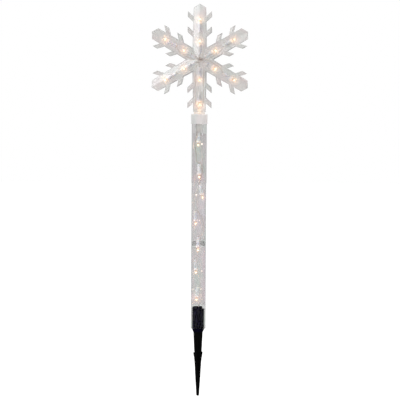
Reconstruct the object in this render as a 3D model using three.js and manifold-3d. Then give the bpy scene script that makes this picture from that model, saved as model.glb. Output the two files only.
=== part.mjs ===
// Lighted snowflake pathway stake: a clear faceted snowflake on a round stem, a clear pole tube with a
// string of mini lamps inside, a black base plug and a black cruciform ground spike.
// Millimetres, +Z up, the snowflake's front faces -Y. The origin is on the pole's axis at the top of the
// spike's fins, which is ground level when the stake is pushed in.

import * as THREE from "three";
import { mergeVertices } from "three/addons/utils/BufferGeometryUtils.js";
import { ConvexGeometry } from "three/addons/geometries/ConvexGeometry.js";
import Module from "manifold-3d";

const wasm = await Module();
wasm.setup();

// ---------------------------------------------------------------- driving dimensions
const GAP = 0.3; // clearance between neighbouring pieces

// ground spike
const SPIKE_TIP_Z = -81;
const SHANK_R_LOW = 6.85;
const SHANK_R_TOP = 8.5;
const SHANK_TOP_Z = 35.9;
const FIN_TURN = -7; // degrees the cruciform blade is turned about the pole's axis
const SPIGOT_R = 5;
const SPIGOT_FLAT = 4.1;
const SPIGOT_TOP_Z = 65.9;

// base plug and its clear sleeve
const PLUG_R = 10.75;
const PLUG_TOP_Z = 81.9;
const COLLAR_R = 11.35;
const CHANNEL_Y = 7.9;
const CHANNEL_R = 1.7;
const GLAND_Z = 39.3;

// pole tube and cap
const TUBE_R = 13.65;
const TUBE_BORE_R = 12.45;
const TUBE_BOTTOM_Z = 42.3;
const TUBE_TOP_Z = 429;
const CAP_R = 14.8;
const CAP_BOTTOM_Z = 413.6;
const CAP_TOP_Z = 431.4;
const FILM_TOP_Z = 396.3;

// snowflake
const FLAKE_Z = 529.3; // height of its centre
const FLAKE_R = 100.6; // centre to arm tip
const ARM_HALF_IN = 12.34; // arm half width, carried to the centre
const ARM_HALF_OUT = 11.3; // arm half width at the shoulder
const FLAKE_H = 12.4; // half thickness at the centre
const RIDGE_SLOPE = 0.0845; // fall of the ridge along the arm
const SIDE_SLOPE = 0.28; // fall of each facet away from the ridge
const WALL = 1.2;
const BARB_TIP = 21.6; // barb tip, sideways from the arm's centre line
const BARB_SLOPE = 0.91;
const BARB_GABLE = 1.7; // the barb's ridge above its side edges
const BARBS = [
  { low: 49.6, high: 59.6, h: 5.4 },
  { low: 77.1, high: 87.1, h: 3.9 },
];

// stem
const STEM_R = 7;
const STEM_BORE_R = 5.6;
const STEM_BOTTOM_Z = 392.8;
const STEM_STEP_Z = 424.3;
const STEM_NECK_R = 10;
const STEM_NECK_TOP_Z = 434.6;
const TENON_R = 3.1;
const TENON_TOP_Z = 440;

// mini lamps: s runs from the wire end towards the bulb's tip
const HOLDER_LEN = 19;
const FILAMENT_S = 23.5;
const BULB_TIP_S = 27.4;
const HOLDER_R_WIRE = 3.15;
const HOLDER_R_BULB = 4.1;
const BULB_R = 2.55;
const WIRE_R = 0.7;

// ---------------------------------------------------------------- helpers
const deg = (a) => (a * Math.PI) / 180;

// welds a geometry and turns its faces outward
function closed(geometry) {
  const g = geometry.clone();
  g.deleteAttribute("normal");
  g.deleteAttribute("uv");
  const m = mergeVertices(g, 1e-4);
  const p = m.attributes.position;
  const src = m.index.array;
  const keep = [];
  for (let i = 0; i < src.length; i += 3) {
    const [a, b, c] = [src[i], src[i + 1], src[i + 2]];
    if (a !== b && b !== c && c !== a) keep.push(a, b, c);
  }
  let v = 0;
  const A = new THREE.Vector3();
  const B = new THREE.Vector3();
  const C = new THREE.Vector3();
  for (let i = 0; i < keep.length; i += 3) {
    A.fromBufferAttribute(p, keep[i]);
    B.fromBufferAttribute(p, keep[i + 1]);
    C.fromBufferAttribute(p, keep[i + 2]);
    v += A.dot(B.cross(C));
  }
  if (v < 0) for (let i = 0; i < keep.length; i += 3) [keep[i + 1], keep[i + 2]] = [keep[i + 2], keep[i + 1]];
  const out = new THREE.BufferGeometry();
  out.setAttribute("position", new THREE.BufferAttribute(new Float32Array(p.array), 3));
  out.setIndex(keep);
  return out;
}

function solid(geometry) {
  const g = closed(geometry);
  return new wasm.Manifold(
    new wasm.Mesh({
      numProp: 3,
      vertProperties: new Float32Array(g.attributes.position.array),
      triVerts: new Uint32Array(g.index.array),
    })
  );
}

function surface(manifold) {
  const m = manifold.getMesh();
  const g = new THREE.BufferGeometry();
  g.setAttribute("position", new THREE.BufferAttribute(new Float32Array(m.vertProperties), 3));
  g.setIndex(Array.from(m.triVerts));
  return g;
}

const union = (list) => list.reduce((a, b) => a.add(b));

// turned piece about +Z from [radius, z] points; the profile closes on itself or on the axis
function turned(points, segments, closeProfile = true) {
  const pts = points.map(([r, z]) => new THREE.Vector2(r, z));
  if (closeProfile) pts.push(pts[0].clone());
  const g = new THREE.LatheGeometry(pts, segments);
  g.rotateX(Math.PI / 2);
  return g;
}

function box(x0, x1, y0, y1, z0, z1) {
  const g = new THREE.BoxGeometry(x1 - x0, y1 - y0, z1 - z0);
  g.translate((x0 + x1) / 2, (y0 + y1) / 2, (z0 + z1) / 2);
  return g;
}

function rod(r, z0, z1, x = 0, y = 0, segments = 16) {
  const g = new THREE.CylinderGeometry(r, r, z1 - z0, segments);
  g.rotateX(Math.PI / 2);
  g.translate(x, y, (z0 + z1) / 2);
  return g;
}

// round wire along a smooth path, sides sides
function wire(points, steps, r = WIRE_R, sides = 5) {
  const path = new THREE.CatmullRomCurve3(points.map((p) => new THREE.Vector3(...p)), false, "centripetal");
  const s = new THREE.Shape();
  for (let i = 0; i < sides; i++) {
    const a = (i / sides) * Math.PI * 2;
    if (i) s.lineTo(r * Math.cos(a), r * Math.sin(a));
    else s.moveTo(r * Math.cos(a), r * Math.sin(a));
  }
  s.closePath();
  return new THREE.ExtrudeGeometry(s, { extrudePath: path, steps, curveSegments: 1 });
}

function polygon(points) {
  const s = new THREE.Shape();
  points.forEach(([x, y], i) => (i ? s.lineTo(x, y) : s.moveTo(x, y)));
  s.closePath();
  return s;
}

// polygon moved inward by d; points run counter-clockwise
function inset(points, d) {
  const n = points.length;
  const out = [];
  for (let i = 0; i < n; i++) {
    const p = points[(i + n - 1) % n];
    const q = points[i];
    const r = points[(i + 1) % n];
    const l1 = Math.hypot(q[0] - p[0], q[1] - p[1]);
    const l2 = Math.hypot(r[0] - q[0], r[1] - q[1]);
    const n1 = [-(q[1] - p[1]) / l1, (q[0] - p[0]) / l1];
    const n2 = [-(r[1] - q[1]) / l2, (r[0] - q[0]) / l2];
    const k = d / (1 + n1[0] * n2[0] + n1[1] * n2[1]);
    out.push([q[0] + (n1[0] + n2[0]) * k, q[1] + (n1[1] + n2[1]) * k]);
  }
  return out;
}

const group = new THREE.Group();

function add(name, geometry, look) {
  const g = closed(geometry);
  g.computeVertexNormals();
  const mesh = new THREE.Mesh(
    g,
    new THREE.MeshStandardMaterial({ flatShading: true, ...look })
  );
  mesh.name = name;
  group.add(mesh);
  return mesh;
}

const CLEAR = { color: 0xd9d6d4, roughness: 0.08, metalness: 0, transparent: true, opacity: 0.45 };
const CLEAR_TUBE = { color: 0xd2d1d0, roughness: 0.06, metalness: 0, transparent: true, opacity: 0.4 };
const FROSTED = { color: 0xd6d3d0, roughness: 0.45, metalness: 0 };
const HOLDER = { color: 0xd4d2cf, roughness: 0.3, metalness: 0 };
const BULB = { color: 0xffe9c4, roughness: 0.05, metalness: 0, emissive: 0xffc98a, emissiveIntensity: 1 };
const WIRE = { color: 0x8a5a35, roughness: 0.35, metalness: 0.3 };
const FILM = { color: 0xb4b0b0, roughness: 0.25, metalness: 0.2 };
const BLACK = { color: 0x0c0c0d, roughness: 0.35, metalness: 0 };
const PLUG_BLACK = { color: 0x24222c, roughness: 0.45, metalness: 0 };
const RUBBER = { color: 0x141414, roughness: 0.7, metalness: 0 };

// ---------------------------------------------------------------- snowflake shells
// Drawn flat in x (right) and y (up) with z towards the front, then stood up.
const armDir = (k) => deg(90 - 60 * k); // k = 3 is the arm that meets the stem
const inArm = (k, a, l) => {
  const t = armDir(k);
  return [a * Math.cos(t) - l * Math.sin(t), a * Math.sin(t) + l * Math.cos(t)];
};
const SHOULDER = FLAKE_R - ARM_HALF_OUT / Math.tan(deg(60));
const half = (a) => ARM_HALF_IN + ((ARM_HALF_OUT - ARM_HALF_IN) * a) / SHOULDER;
const CORNER = (() => {
  let a = 21;
  for (let i = 0; i < 20; i++) a = half(a) / Math.tan(deg(30));
  return a;
})();

const starOutline = [];
for (let j = 0; j < 6; j++) {
  const k = (6 - j) % 6; // counter-clockwise
  starOutline.push(inArm(k, CORNER, -half(CORNER)));
  starOutline.push(inArm(k, SHOULDER, -ARM_HALF_OUT));
  starOutline.push(inArm(k, FLAKE_R, 0));
  starOutline.push(inArm(k, SHOULDER, ARM_HALF_OUT));
}

function barbOutline(barb, side, root) {
  const reach = BARB_TIP - root;
  const pts = [
    [barb.low - BARB_SLOPE * reach, root],
    [barb.low, BARB_TIP],
    [barb.high, BARB_TIP],
    [barb.high - BARB_SLOPE * reach, root],
  ];
  return pts.map(([a, l]) => [a, side * l]);
}

function counterClockwise(points) {
  let s = 0;
  for (let i = 0; i < points.length; i++) {
    const [x0, y0] = points[i];
    const [x1, y1] = points[(i + 1) % points.length];
    s += x0 * y1 - x1 * y0;
  }
  return s < 0 ? points.slice().reverse() : points;
}

// the six roofs: each arm's two facets, run out sideways; the highest one wins
function roofs(h0) {
  const list = [];
  for (let k = 0; k < 6; k++) {
    const pts = [];
    const put = (a, l, h) => {
      const [x, y] = inArm(k, a, l);
      pts.push(new THREE.Vector3(x, y, h));
    };
    const W = 45;
    const L = 130;
    const top = (a, l) => h0 - RIDGE_SLOPE * a - SIDE_SLOPE * Math.abs(l);
    for (const a of [0, L]) {
      for (const l of [-W, 0, W]) put(a, l, top(a, l));
      put(a, -W, -25);
      put(a, W, -25);
    }
    list.push(solid(new ConvexGeometry(pts)));
  }
  const cut = solid(box(-150, 150, -150, 150, -30, h0 - 0.15));
  return union(list).intersect(cut);
}

function flat(points, z0, z1) {
  const g = new THREE.ExtrudeGeometry(polygon(points), { depth: z1 - z0, bevelEnabled: false });
  g.translate(0, 0, z0);
  return solid(g);
}

// a gabled bar: four corners, the ridge runs from the middle of the root edge to the middle of the tip edge
function gable(points, ridge, drop) {
  const pts = [];
  for (const [x, y] of points) for (const z of [-2, ridge - drop]) pts.push(new THREE.Vector3(x, y, z));
  for (const [i, j] of [
    [0, 3],
    [1, 2],
  ])
    pts.push(new THREE.Vector3((points[i][0] + points[j][0]) / 2, (points[i][1] + points[j][1]) / 2, ridge));
  return solid(new ConvexGeometry(pts));
}

// lamp positions in each arm: distance of the wire end from the centre
const headLamps = [];
for (let k = 0; k < 6; k++) {
  headLamps.push({ k, r: k === 3 ? 13.2 : 9.8 });
  headLamps.push({ k, r: k === 3 ? 57.6 : 49.4 });
}

const outerBody = [flat(starOutline, -2, 30).intersect(roofs(FLAKE_H))];
const innerBody = [
  flat(inset(starOutline, WALL), -2, 30).intersect(roofs(FLAKE_H - WALL * Math.hypot(1, RIDGE_SLOPE, SIDE_SLOPE))),
];
for (let k = 0; k < 6; k++)
  for (const side of [-1, 1])
    for (const barb of BARBS) {
      const place = (pts) => counterClockwise(pts.map(([a, l]) => inArm(k, a, l)));
      outerBody.push(gable(place(barbOutline(barb, side, 7.5)), barb.h, BARB_GABLE));
      const pocket = inset(place(barbOutline(barb, side, 5.5)), WALL + 0.1);
      innerBody.push(gable(pocket, barb.h - WALL - 0.15, 1));
    }
const outer = union(outerBody);
let inner = union(innerBody);
const stemEnd = -(FLAKE_Z - STEM_NECK_TOP_Z - GAP); // where the lower arm stops, from the centre
inner = inner.intersect(solid(box(-150, 150, stemEnd + WALL, 150, -30, 30)));
let shell = outer.subtract(inner);
// cradle ribs that hold the lamp holders between the two shells
const ribs = [];
const beds = [];
for (const lamp of headLamps) {
  const t = armDir(lamp.k);
  const place = (g) => {
    g.rotateZ(t);
    return solid(g);
  };
  const a = lamp.r + 8;
  ribs.push(place(box(a - 0.5, a + 0.5, -2.8, 2.8, -1, 20)));
  const bed = new THREE.CylinderGeometry(HOLDER_R_WIRE + GAP, HOLDER_R_WIRE + GAP, 24, 16);
  bed.rotateZ(Math.PI / 2);
  bed.translate(lamp.r + 8, 0, 0);
  beds.push(place(bed));
}
shell = shell.add(union(ribs).intersect(outer).subtract(union(beds)));
shell = shell.intersect(solid(box(-150, 150, stemEnd, 150, GAP / 2, 40)));
const tenonHole = new THREE.CylinderGeometry(TENON_R + GAP, TENON_R + GAP, 14, 20);
tenonHole.translate(0, stemEnd, 0);
shell = shell.subtract(solid(tenonHole));

const front = surface(shell);
front.rotateX(Math.PI / 2);
const rear = front.clone();
rear.rotateZ(Math.PI);
front.translate(0, 0, FLAKE_Z);
rear.translate(0, 0, FLAKE_Z);
add("snowflake_front", front, CLEAR);
add("snowflake_rear", rear, CLEAR);

// ---------------------------------------------------------------- stem
add(
  "stem",
  turned(
    [
      [STEM_R - 0.4, STEM_BOTTOM_Z],
      [STEM_R, STEM_BOTTOM_Z + 0.5],
      [STEM_R, STEM_STEP_Z],
      [STEM_NECK_R, STEM_STEP_Z],
      [STEM_NECK_R, STEM_NECK_TOP_Z],
      [TENON_R, STEM_NECK_TOP_Z],
      [TENON_R, TENON_TOP_Z],
      [TENON_R - 1, TENON_TOP_Z],
      [TENON_R - 1, 431.6],
      [STEM_BORE_R, 428.6],
      [STEM_BORE_R, STEM_BOTTOM_Z],
    ],
    32
  ),
  CLEAR
);

// ---------------------------------------------------------------- mini lamps
// both drawn with s along +Z from the wire end
function holderShape() {
  return turned(
    [
      [0, 0],
      [HOLDER_R_WIRE - 0.5, 0],
      [HOLDER_R_WIRE, 0.8],
      [HOLDER_R_WIRE, 11],
      [3.7, 14.2],
      [HOLDER_R_BULB, 15],
      [HOLDER_R_BULB, HOLDER_LEN],
      [BULB_R + GAP + 0.1, HOLDER_LEN],
      [BULB_R + GAP, 10.5],
      [0, 10.5],
    ],
    10,
    false
  );
}

function bulbShape() {
  return turned(
    [
      [0, 11],
      [BULB_R - 0.3, 11],
      [BULB_R, 13],
      [BULB_R, 22.5],
      [2.1, 25],
      [1.1, 26.8],
      [0, BULB_TIP_S],
    ],
    8,
    false
  );
}

function placeLamp(name, origin, direction) {
  const q = new THREE.Quaternion().setFromUnitVectors(
    new THREE.Vector3(0, 0, 1),
    new THREE.Vector3(...direction).normalize()
  );
  for (const [prefix, shape, look] of [
    ["lamp_holder_", holderShape, HOLDER],
    ["bulb_", bulbShape, BULB],
  ]) {
    const mesh = add(prefix + name, shape(), look);
    mesh.quaternion.copy(q);
    mesh.position.set(...origin);
  }
}

headLamps.forEach((lamp, i) => {
  const t = armDir(lamp.k);
  const d = [Math.cos(t), 0, Math.sin(t)];
  placeLamp(`head_${String(i + 1).padStart(2, "0")}`, [d[0] * lamp.r, 0, FLAKE_Z + d[2] * lamp.r], d);
});

// pole lamps hang bulb down: filament point and the lean of the lamp in x and y per millimetre of height
const poleLamps = [
  { x: -1.9, y: 0.1, z: 375.6, lx: -0.1, ly: 0 },
  { x: 0.4, y: 0.8, z: 317.5, lx: 0.03, ly: 0.02 },
  { x: 6.8, y: -1.2, z: 280.9, lx: 0.2, ly: -0.02 },
  { x: -5.6, y: -0.6, z: 233, lx: 0.05, ly: 0 },
  { x: -0.8, y: -2.4, z: 185, lx: -0.02, ly: -0.02 },
  { x: -4.5, y: -0.4, z: 144.1, lx: 0.05, ly: 0.02 },
  { x: -2.9, y: -1.2, z: 94.6, lx: -0.1, ly: 0 },
];
const wireEnds = [];
poleLamps.forEach((p, i) => {
  const d = new THREE.Vector3(p.lx, p.ly, -1).normalize();
  const o = new THREE.Vector3(p.x, p.y, p.z).addScaledVector(d, -FILAMENT_S);
  wireEnds.push(o.clone().addScaledVector(d, -GAP));
  placeLamp(`pole_${i + 1}`, o.toArray(), d.toArray());
});

// ---------------------------------------------------------------- snowflake wiring
const headWires = [];
const flakePoint = (k, a, l, depth) => {
  const [x, z] = inArm(k, a, l);
  return [x, depth, FLAKE_Z + z];
};
const hub = new THREE.IcosahedronGeometry(2.4, 1);
hub.translate(0, 0, FLAKE_Z);
headWires.push(solid(hub));
for (let k = 0; k < 6; k++) {
  const rIn = k === 3 ? 13.2 : 9.8;
  const rOut = k === 3 ? 57.6 : 49.4;
  const bow = [1.2, -1.6, 0.8, -1, 1.5, -0.9][k];
  headWires.push(
    solid(wire([flakePoint(k, 0, 0, 0), flakePoint(k, rIn * 0.5, bow, -1.2), flakePoint(k, rIn - GAP, 0, 0)], 5))
  );
  for (const side of [-1, 1]) {
    const d = side * 1.6;
    headWires.push(
      solid(
        wire(
          [
            flakePoint(k, 0.5, 0, 0),
            flakePoint(k, 6, side * 3.2, d * 1.6),
            flakePoint(k, 12, side * 6.2, d),
            flakePoint(k, 24, side * 6.9, d * 0.4),
            flakePoint(k, 38, side * (6.2 + bow * 0.3), -d * 0.4),
            flakePoint(k, rOut - 5, side * 3.6, 0),
            flakePoint(k, rOut - GAP, side * 0.6, 0),
          ],
          11
        )
      )
    );
  }
}
// supply pair: from the hub down the lower arm, through the tenon and into the stem
for (const side of [-1, 1]) {
  headWires.push(
    solid(
      wire(
        [
          flakePoint(3, 1, 0, 0),
          flakePoint(3, 8, side * 4.2, 3.4),
          flakePoint(3, 20, side * 7.4, 2.6),
          flakePoint(3, 50, side * 7.0, 1.2),
          flakePoint(3, 76, side * 6.6, 0.3),
          flakePoint(3, 84, side * 4.6, 0),
          [-side * 0.95, 0, 440.5],
          [-side * 0.95, 0, 431],
          [-side * 1.3, 0, 416],
          [-side * 1.1, 0, 403.5],
        ],
        20
      )
    )
  );
}
add("wires_head", surface(union(headWires)), WIRE);

// ---------------------------------------------------------------- pole tube, cap, bushing, film
add(
  "tube",
  turned(
    [
      [TUBE_BORE_R, TUBE_BOTTOM_Z],
      [TUBE_R, TUBE_BOTTOM_Z],
      [TUBE_R, TUBE_TOP_Z],
      [TUBE_BORE_R, TUBE_TOP_Z],
    ],
    48
  ),
  CLEAR_TUBE
);
add(
  "cap",
  turned(
    [
      [CAP_R, CAP_BOTTOM_Z],
      [CAP_R, CAP_TOP_Z - 0.8],
      [CAP_R - 0.8, CAP_TOP_Z],
      [STEM_NECK_R + GAP, CAP_TOP_Z],
      [STEM_NECK_R + GAP, TUBE_TOP_Z + 0.5],
      [TUBE_R + GAP, TUBE_TOP_Z + 0.5],
      [TUBE_R + GAP, CAP_BOTTOM_Z],
    ],
    48
  ),
  FROSTED
);
add(
  "stem_bushing",
  turned(
    [
      [TUBE_BORE_R - GAP, 414],
      [TUBE_BORE_R - GAP, 424],
      [STEM_R + GAP, 424],
      [STEM_R + GAP, 414],
    ],
    32
  ),
  FROSTED
);

// crinkled film: a C-shaped sheet open to the front, standing along the tube
function filmShape(from, to, folds, r, ripple, thick, phase) {
  const outerEdge = [];
  const innerEdge = [];
  for (let i = 0; i <= folds; i++) {
    const a = deg(from + ((to - from) * i) / folds);
    const rr = r + (i % 2 ? ripple : -ripple) * (0.6 + 0.4 * Math.sin(i * 2.1 + phase));
    outerEdge.push([(rr + thick / 2) * Math.cos(a), (rr + thick / 2) * Math.sin(a)]);
    innerEdge.push([(rr - thick / 2) * Math.cos(a), (rr - thick / 2) * Math.sin(a)]);
  }
  return polygon(outerEdge.concat(innerEdge.reverse()));
}
function sheet(shape, z0, z1) {
  const g = new THREE.ExtrudeGeometry(shape, { depth: z1 - z0, bevelEnabled: false });
  g.translate(0, 0, z0);
  return g;
}
add("film_upper", sheet(filmShape(-28, 208, 26, 11.6, 0.3, 0.25, 0.4), 203, FILM_TOP_Z), FILM);
add("film_lower", sheet(filmShape(-28, 208, 26, 11.6, 0.3, 0.25, 1.9), 84, 190.4), FILM);
add("liner_clip", sheet(filmShape(-34, 214, 22, 11.55, 0.05, 0.7, 0), 191.4, 201.8), PLUG_BLACK);

// ---------------------------------------------------------------- pole wiring
const W = wireEnds.map((v) => v.toArray());
const run = (points, steps) => solid(wire(points, steps));
const bead = (p, r) => {
  const g = new THREE.IcosahedronGeometry(r, 1);
  g.translate(p[0], p[1], p[2] + r - 0.1);
  return solid(g);
};
const up = (p, x, y, z) => [p[0] + x, p[1] + y, p[2] + z];
const poleWires = [
  // stem end to lamp 1
  run([[1.2, 0, 402.8], up(W[0], 0.6, 0, 2.2), up(W[0], 0, 0, 0)], 3),
  // lamp 1 to lamp 2, down the left side
  run([up(W[0], 0, 0, 0.6), up(W[0], -2.6, 0, 2.2), [-4.2, -0.3, 398.6], [-4.5, -0.6, 392], [-6.4, -0.8, 384], [-6.9, -0.8, 372], [-5.2, -0.8, 358], [-4.6, -0.6, 346], up(W[1], -1.2, 0, 3.4), W[1]], 16),
  // lamp 2 to lamp 3, behind lamp 2 and out under its bulb
  run([up(W[1], 0, 0, 0.5), up(W[1], 2, 2.4, 3.4), [5.4, 3.6, 336], [5.2, 5.4, 326], [2.6, 5.2, 314], [0.4, 2.4, 308.6], [1.2, -0.4, 306.2], W[2]], 14),
  // lamp 3 to lamp 4, down the left side
  run([up(W[2], 0, 0, 0.4), up(W[2], -1.8, -0.8, 1.8), [-3, -2.2, 298], [-5, -2, 291], [-6.6, -1.4, 286], [-8.6, -0.6, 276], [-8.8, -0.6, 264], up(W[3], -0.9, 0, 4), W[3]], 14),
  // lamp 4 to lamp 5, over the top and down the right side
  run([up(W[3], 0, 0, 0.3), up(W[3], 2.6, -0.6, 1.6), [1.6, -2.2, 251], [5.4, -2.4, 247.6], [7.8, -1.8, 238], [8.4, -1, 226], [8, -1, 216], [4.6, -2.2, 211.8], up(W[4], 0.6, 0, 2.4), W[4]], 18),
  // lamp 5 to lamp 6, behind lamp 5
  run([up(W[4], 0, 0, 0.3), up(W[4], -2.6, 2.4, 1.8), [-4.8, 3.8, 200], [-4.6, 5.2, 186], [-1.6, 4.4, 176], [-0.6, 1.2, 171.6], [-2.6, -0.4, 169.8], up(W[5], 0.6, 0, 1.6), W[5]], 16),
  // lamp 6 to lamp 7, over the top and down the right side
  run([up(W[5], 0, 0, 0.3), up(W[5], 2.4, -0.8, 1.4), [0.8, -2, 164.6], [3.9, -2, 158], [5, -1.6, 144], [4.8, -1.4, 130], [3, -1.4, 121.6], up(W[6], 0.4, 0, 1.6), W[6]], 16),
  // lamp 7 to the base plug
  run([up(W[6], 0, 0, 0.3), up(W[6], 2.4, 1.2, 1.6), [5.6, 3.2, 112], [6, 3.6, 100], [3.4, 5.6, 90], [0.6, 7.6, 84.6], [0.6, CHANNEL_Y, 76], [0.4, CHANNEL_Y, 55]], 14),
  // return wire, along the back of the tube
  run([[-1, 2.6, 402.8], [-1.4, 4, 400.6], [-1.4, 4.3, 396], [-1.4, 4.5, 391.8], [-0.4, 6.2, 384], [2.4, 7.6, 370], [4.8, 7, 345], [1.6, 8, 318], [-3.6, 7.4, 296], [-4.4, 7.2, 270], [0.4, 8.2, 246], [4.6, 7.2, 224], [2.4, 7.8, 200], [-2.8, 7.8, 176], [-3.6, 7.6, 150], [1.4, 8.2, 124], [1.6, 8, 100], [-0.5, CHANNEL_Y, 86], [-0.5, CHANNEL_Y, 76], [-0.3, CHANNEL_Y, 55]], 36),
];
for (const p of W) poleWires.push(bead(p, 1.3));
add("wires_pole", surface(union(poleWires)), WIRE);

// ---------------------------------------------------------------- base plug, sleeve and cord gland
add(
  "plug_sleeve",
  turned(
    [
      [PLUG_R + 0.25, 43],
      [TUBE_BORE_R - 0.15, 43],
      [TUBE_BORE_R - 0.15, 79],
      [PLUG_R + 0.25, 79],
    ],
    32
  ),
  CLEAR_TUBE
);

const flats = (g, w) => solid(g).intersect(solid(box(-w, w, -30, 30, -100, 200)));
let plug = solid(
  turned(
    [
      [0, SHANK_TOP_Z + GAP],
      [9.3, SHANK_TOP_Z + GAP],
      [9.9, 38.4],
      [COLLAR_R, 42],
      [COLLAR_R, 42.6],
      [PLUG_R, 42.6],
      [PLUG_R, PLUG_TOP_Z - 0.7],
      [PLUG_R - 0.7, PLUG_TOP_Z],
      [0, PLUG_TOP_Z],
    ],
    32,
    false
  )
);
plug = plug.subtract(flats(rod(SPIGOT_R + GAP, 30, SPIGOT_TOP_Z + GAP, 0, 0, 24), SPIGOT_FLAT + GAP));
plug = plug.subtract(solid(rod(CHANNEL_R, GLAND_Z, 90, 0, CHANNEL_Y, 12)));
plug = plug.subtract(solid(box(6.5, 20, -20, 20, PLUG_TOP_Z - 3.7, 90)));
const glandHole = new THREE.CylinderGeometry(1.9, 1.9, 8, 12);
glandHole.translate(0, CHANNEL_Y + 4, GLAND_Z);
plug = plug.subtract(solid(glandHole));
add("base_plug", surface(plug), PLUG_BLACK);

// grommet where the supply cord would leave, at the back of the collar
const gland = new THREE.LatheGeometry(
  [
    [0.9, 9.9],
    [1.6, 9.9],
    [1.6, 11.7],
    [2.6, 11.7],
    [2.6, 12.5],
    [2.2, 12.9],
    [0.9, 12.9],
    [0.9, 9.9],
  ].map(([r, y]) => new THREE.Vector2(r, y)),
  16
);
gland.translate(0, 0, GLAND_Z);
add("cord_gland", gland, RUBBER);

// ---------------------------------------------------------------- ground spike
const finRight = [
  [0, 0],
  [8.6, 0],
  [8.8, -0.4],
  [8.8, -1.2],
  [8.6, -3.1],
  [8.1, -6.7],
  [7.6, -8.5],
  [7.1, -10.4],
  [6.6, -14],
  [6, -19.4],
  [5.5, -28],
  [5.15, -34],
  [4.7, -43],
  [4.2, -52],
  [3.6, -61],
  [3, -70],
  [2.8, -75.7],
  [2.65, -79],
  [1.9, SPIKE_TIP_Z],
];
// the left fin of the wide blade starts a little lower
const finLeft = [[0, 0], [5, 0], [5, -1.7], [8.5, -1.8], [8.7, -2.2]].concat(finRight.slice(4));
const thickProfile = [
  [0.55, 0.2],
  [1.9, -14],
  [1.6, -40],
  [1.15, -72],
  [0.9, SPIKE_TIP_Z - 1],
];
const mirrored = (list, other = list) =>
  counterClockwise(list.concat(other.slice().reverse().map(([x, z]) => [-x, z]).filter(([x]) => x !== 0)));
function fins(turn, left) {
  const side = new THREE.ExtrudeGeometry(polygon(mirrored(finRight, left)), { depth: 8, bevelEnabled: false });
  side.translate(0, 0, -4);
  side.rotateX(Math.PI / 2);
  const edge = new THREE.ExtrudeGeometry(polygon(mirrored(thickProfile)), { depth: 24, bevelEnabled: false });
  edge.translate(0, 0, -12);
  edge.rotateX(Math.PI / 2);
  edge.rotateZ(Math.PI / 2);
  side.rotateZ(deg(turn));
  edge.rotateZ(deg(turn));
  return solid(side).intersect(solid(edge));
}
const core = turned(
  [
    [0, -78],
    [1.2, -77],
    [2.2, -26],
    [3.4, -16],
    [SHANK_R_LOW - 0.5, -0.6],
    [SHANK_R_LOW, 0.2],
    [SHANK_R_TOP, SHANK_TOP_Z - 0.4],
    [SHANK_R_TOP - 0.4, SHANK_TOP_Z],
    [0, SHANK_TOP_Z],
  ],
  32,
  false
);
const spigot = flats(
  turned(
    [
      [0, SHANK_TOP_Z - 4],
      [SPIGOT_R, SHANK_TOP_Z - 4],
      [SPIGOT_R, SPIGOT_TOP_Z - 1.2],
      [SPIGOT_R - 1.2, SPIGOT_TOP_Z],
      [0, SPIGOT_TOP_Z],
    ],
    24,
    false
  ),
  SPIGOT_FLAT
);
const spike = union([solid(core), fins(FIN_TURN, finLeft), fins(FIN_TURN + 90), spigot]);
add("ground_spike", surface(spike), BLACK);

export default group;
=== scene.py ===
"""Lighted snowflake pathway stake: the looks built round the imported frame."""

import math

import bmesh
import bpy
import numpy as np
from mathutils import Matrix, Vector, noise


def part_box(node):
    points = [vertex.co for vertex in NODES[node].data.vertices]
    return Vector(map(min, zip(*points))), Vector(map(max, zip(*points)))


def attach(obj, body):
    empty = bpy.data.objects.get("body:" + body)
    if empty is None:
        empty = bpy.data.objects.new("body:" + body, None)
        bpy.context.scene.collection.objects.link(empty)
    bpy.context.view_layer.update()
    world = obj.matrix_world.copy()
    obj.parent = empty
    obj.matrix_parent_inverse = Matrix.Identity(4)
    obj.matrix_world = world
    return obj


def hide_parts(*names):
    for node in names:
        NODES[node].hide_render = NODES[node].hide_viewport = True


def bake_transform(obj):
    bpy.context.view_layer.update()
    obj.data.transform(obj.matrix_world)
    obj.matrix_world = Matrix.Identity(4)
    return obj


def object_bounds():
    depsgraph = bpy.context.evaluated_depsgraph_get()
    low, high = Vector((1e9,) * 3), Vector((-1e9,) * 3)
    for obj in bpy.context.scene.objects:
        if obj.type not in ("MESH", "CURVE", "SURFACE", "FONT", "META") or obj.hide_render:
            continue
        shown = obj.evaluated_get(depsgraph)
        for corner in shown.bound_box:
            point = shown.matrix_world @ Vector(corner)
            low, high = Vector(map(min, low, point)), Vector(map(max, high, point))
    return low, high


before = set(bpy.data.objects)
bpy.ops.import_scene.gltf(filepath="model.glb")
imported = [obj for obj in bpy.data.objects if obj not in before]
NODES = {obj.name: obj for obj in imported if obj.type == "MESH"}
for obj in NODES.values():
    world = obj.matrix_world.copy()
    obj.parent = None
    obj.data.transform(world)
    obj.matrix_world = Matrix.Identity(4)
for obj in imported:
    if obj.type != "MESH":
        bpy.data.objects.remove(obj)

size_cad = [[float(c) for c in v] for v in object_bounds()]
MM = 0.001
scene = bpy.context.scene


def middle(node):
    lo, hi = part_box(node)
    return (lo + hi) / 2


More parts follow.
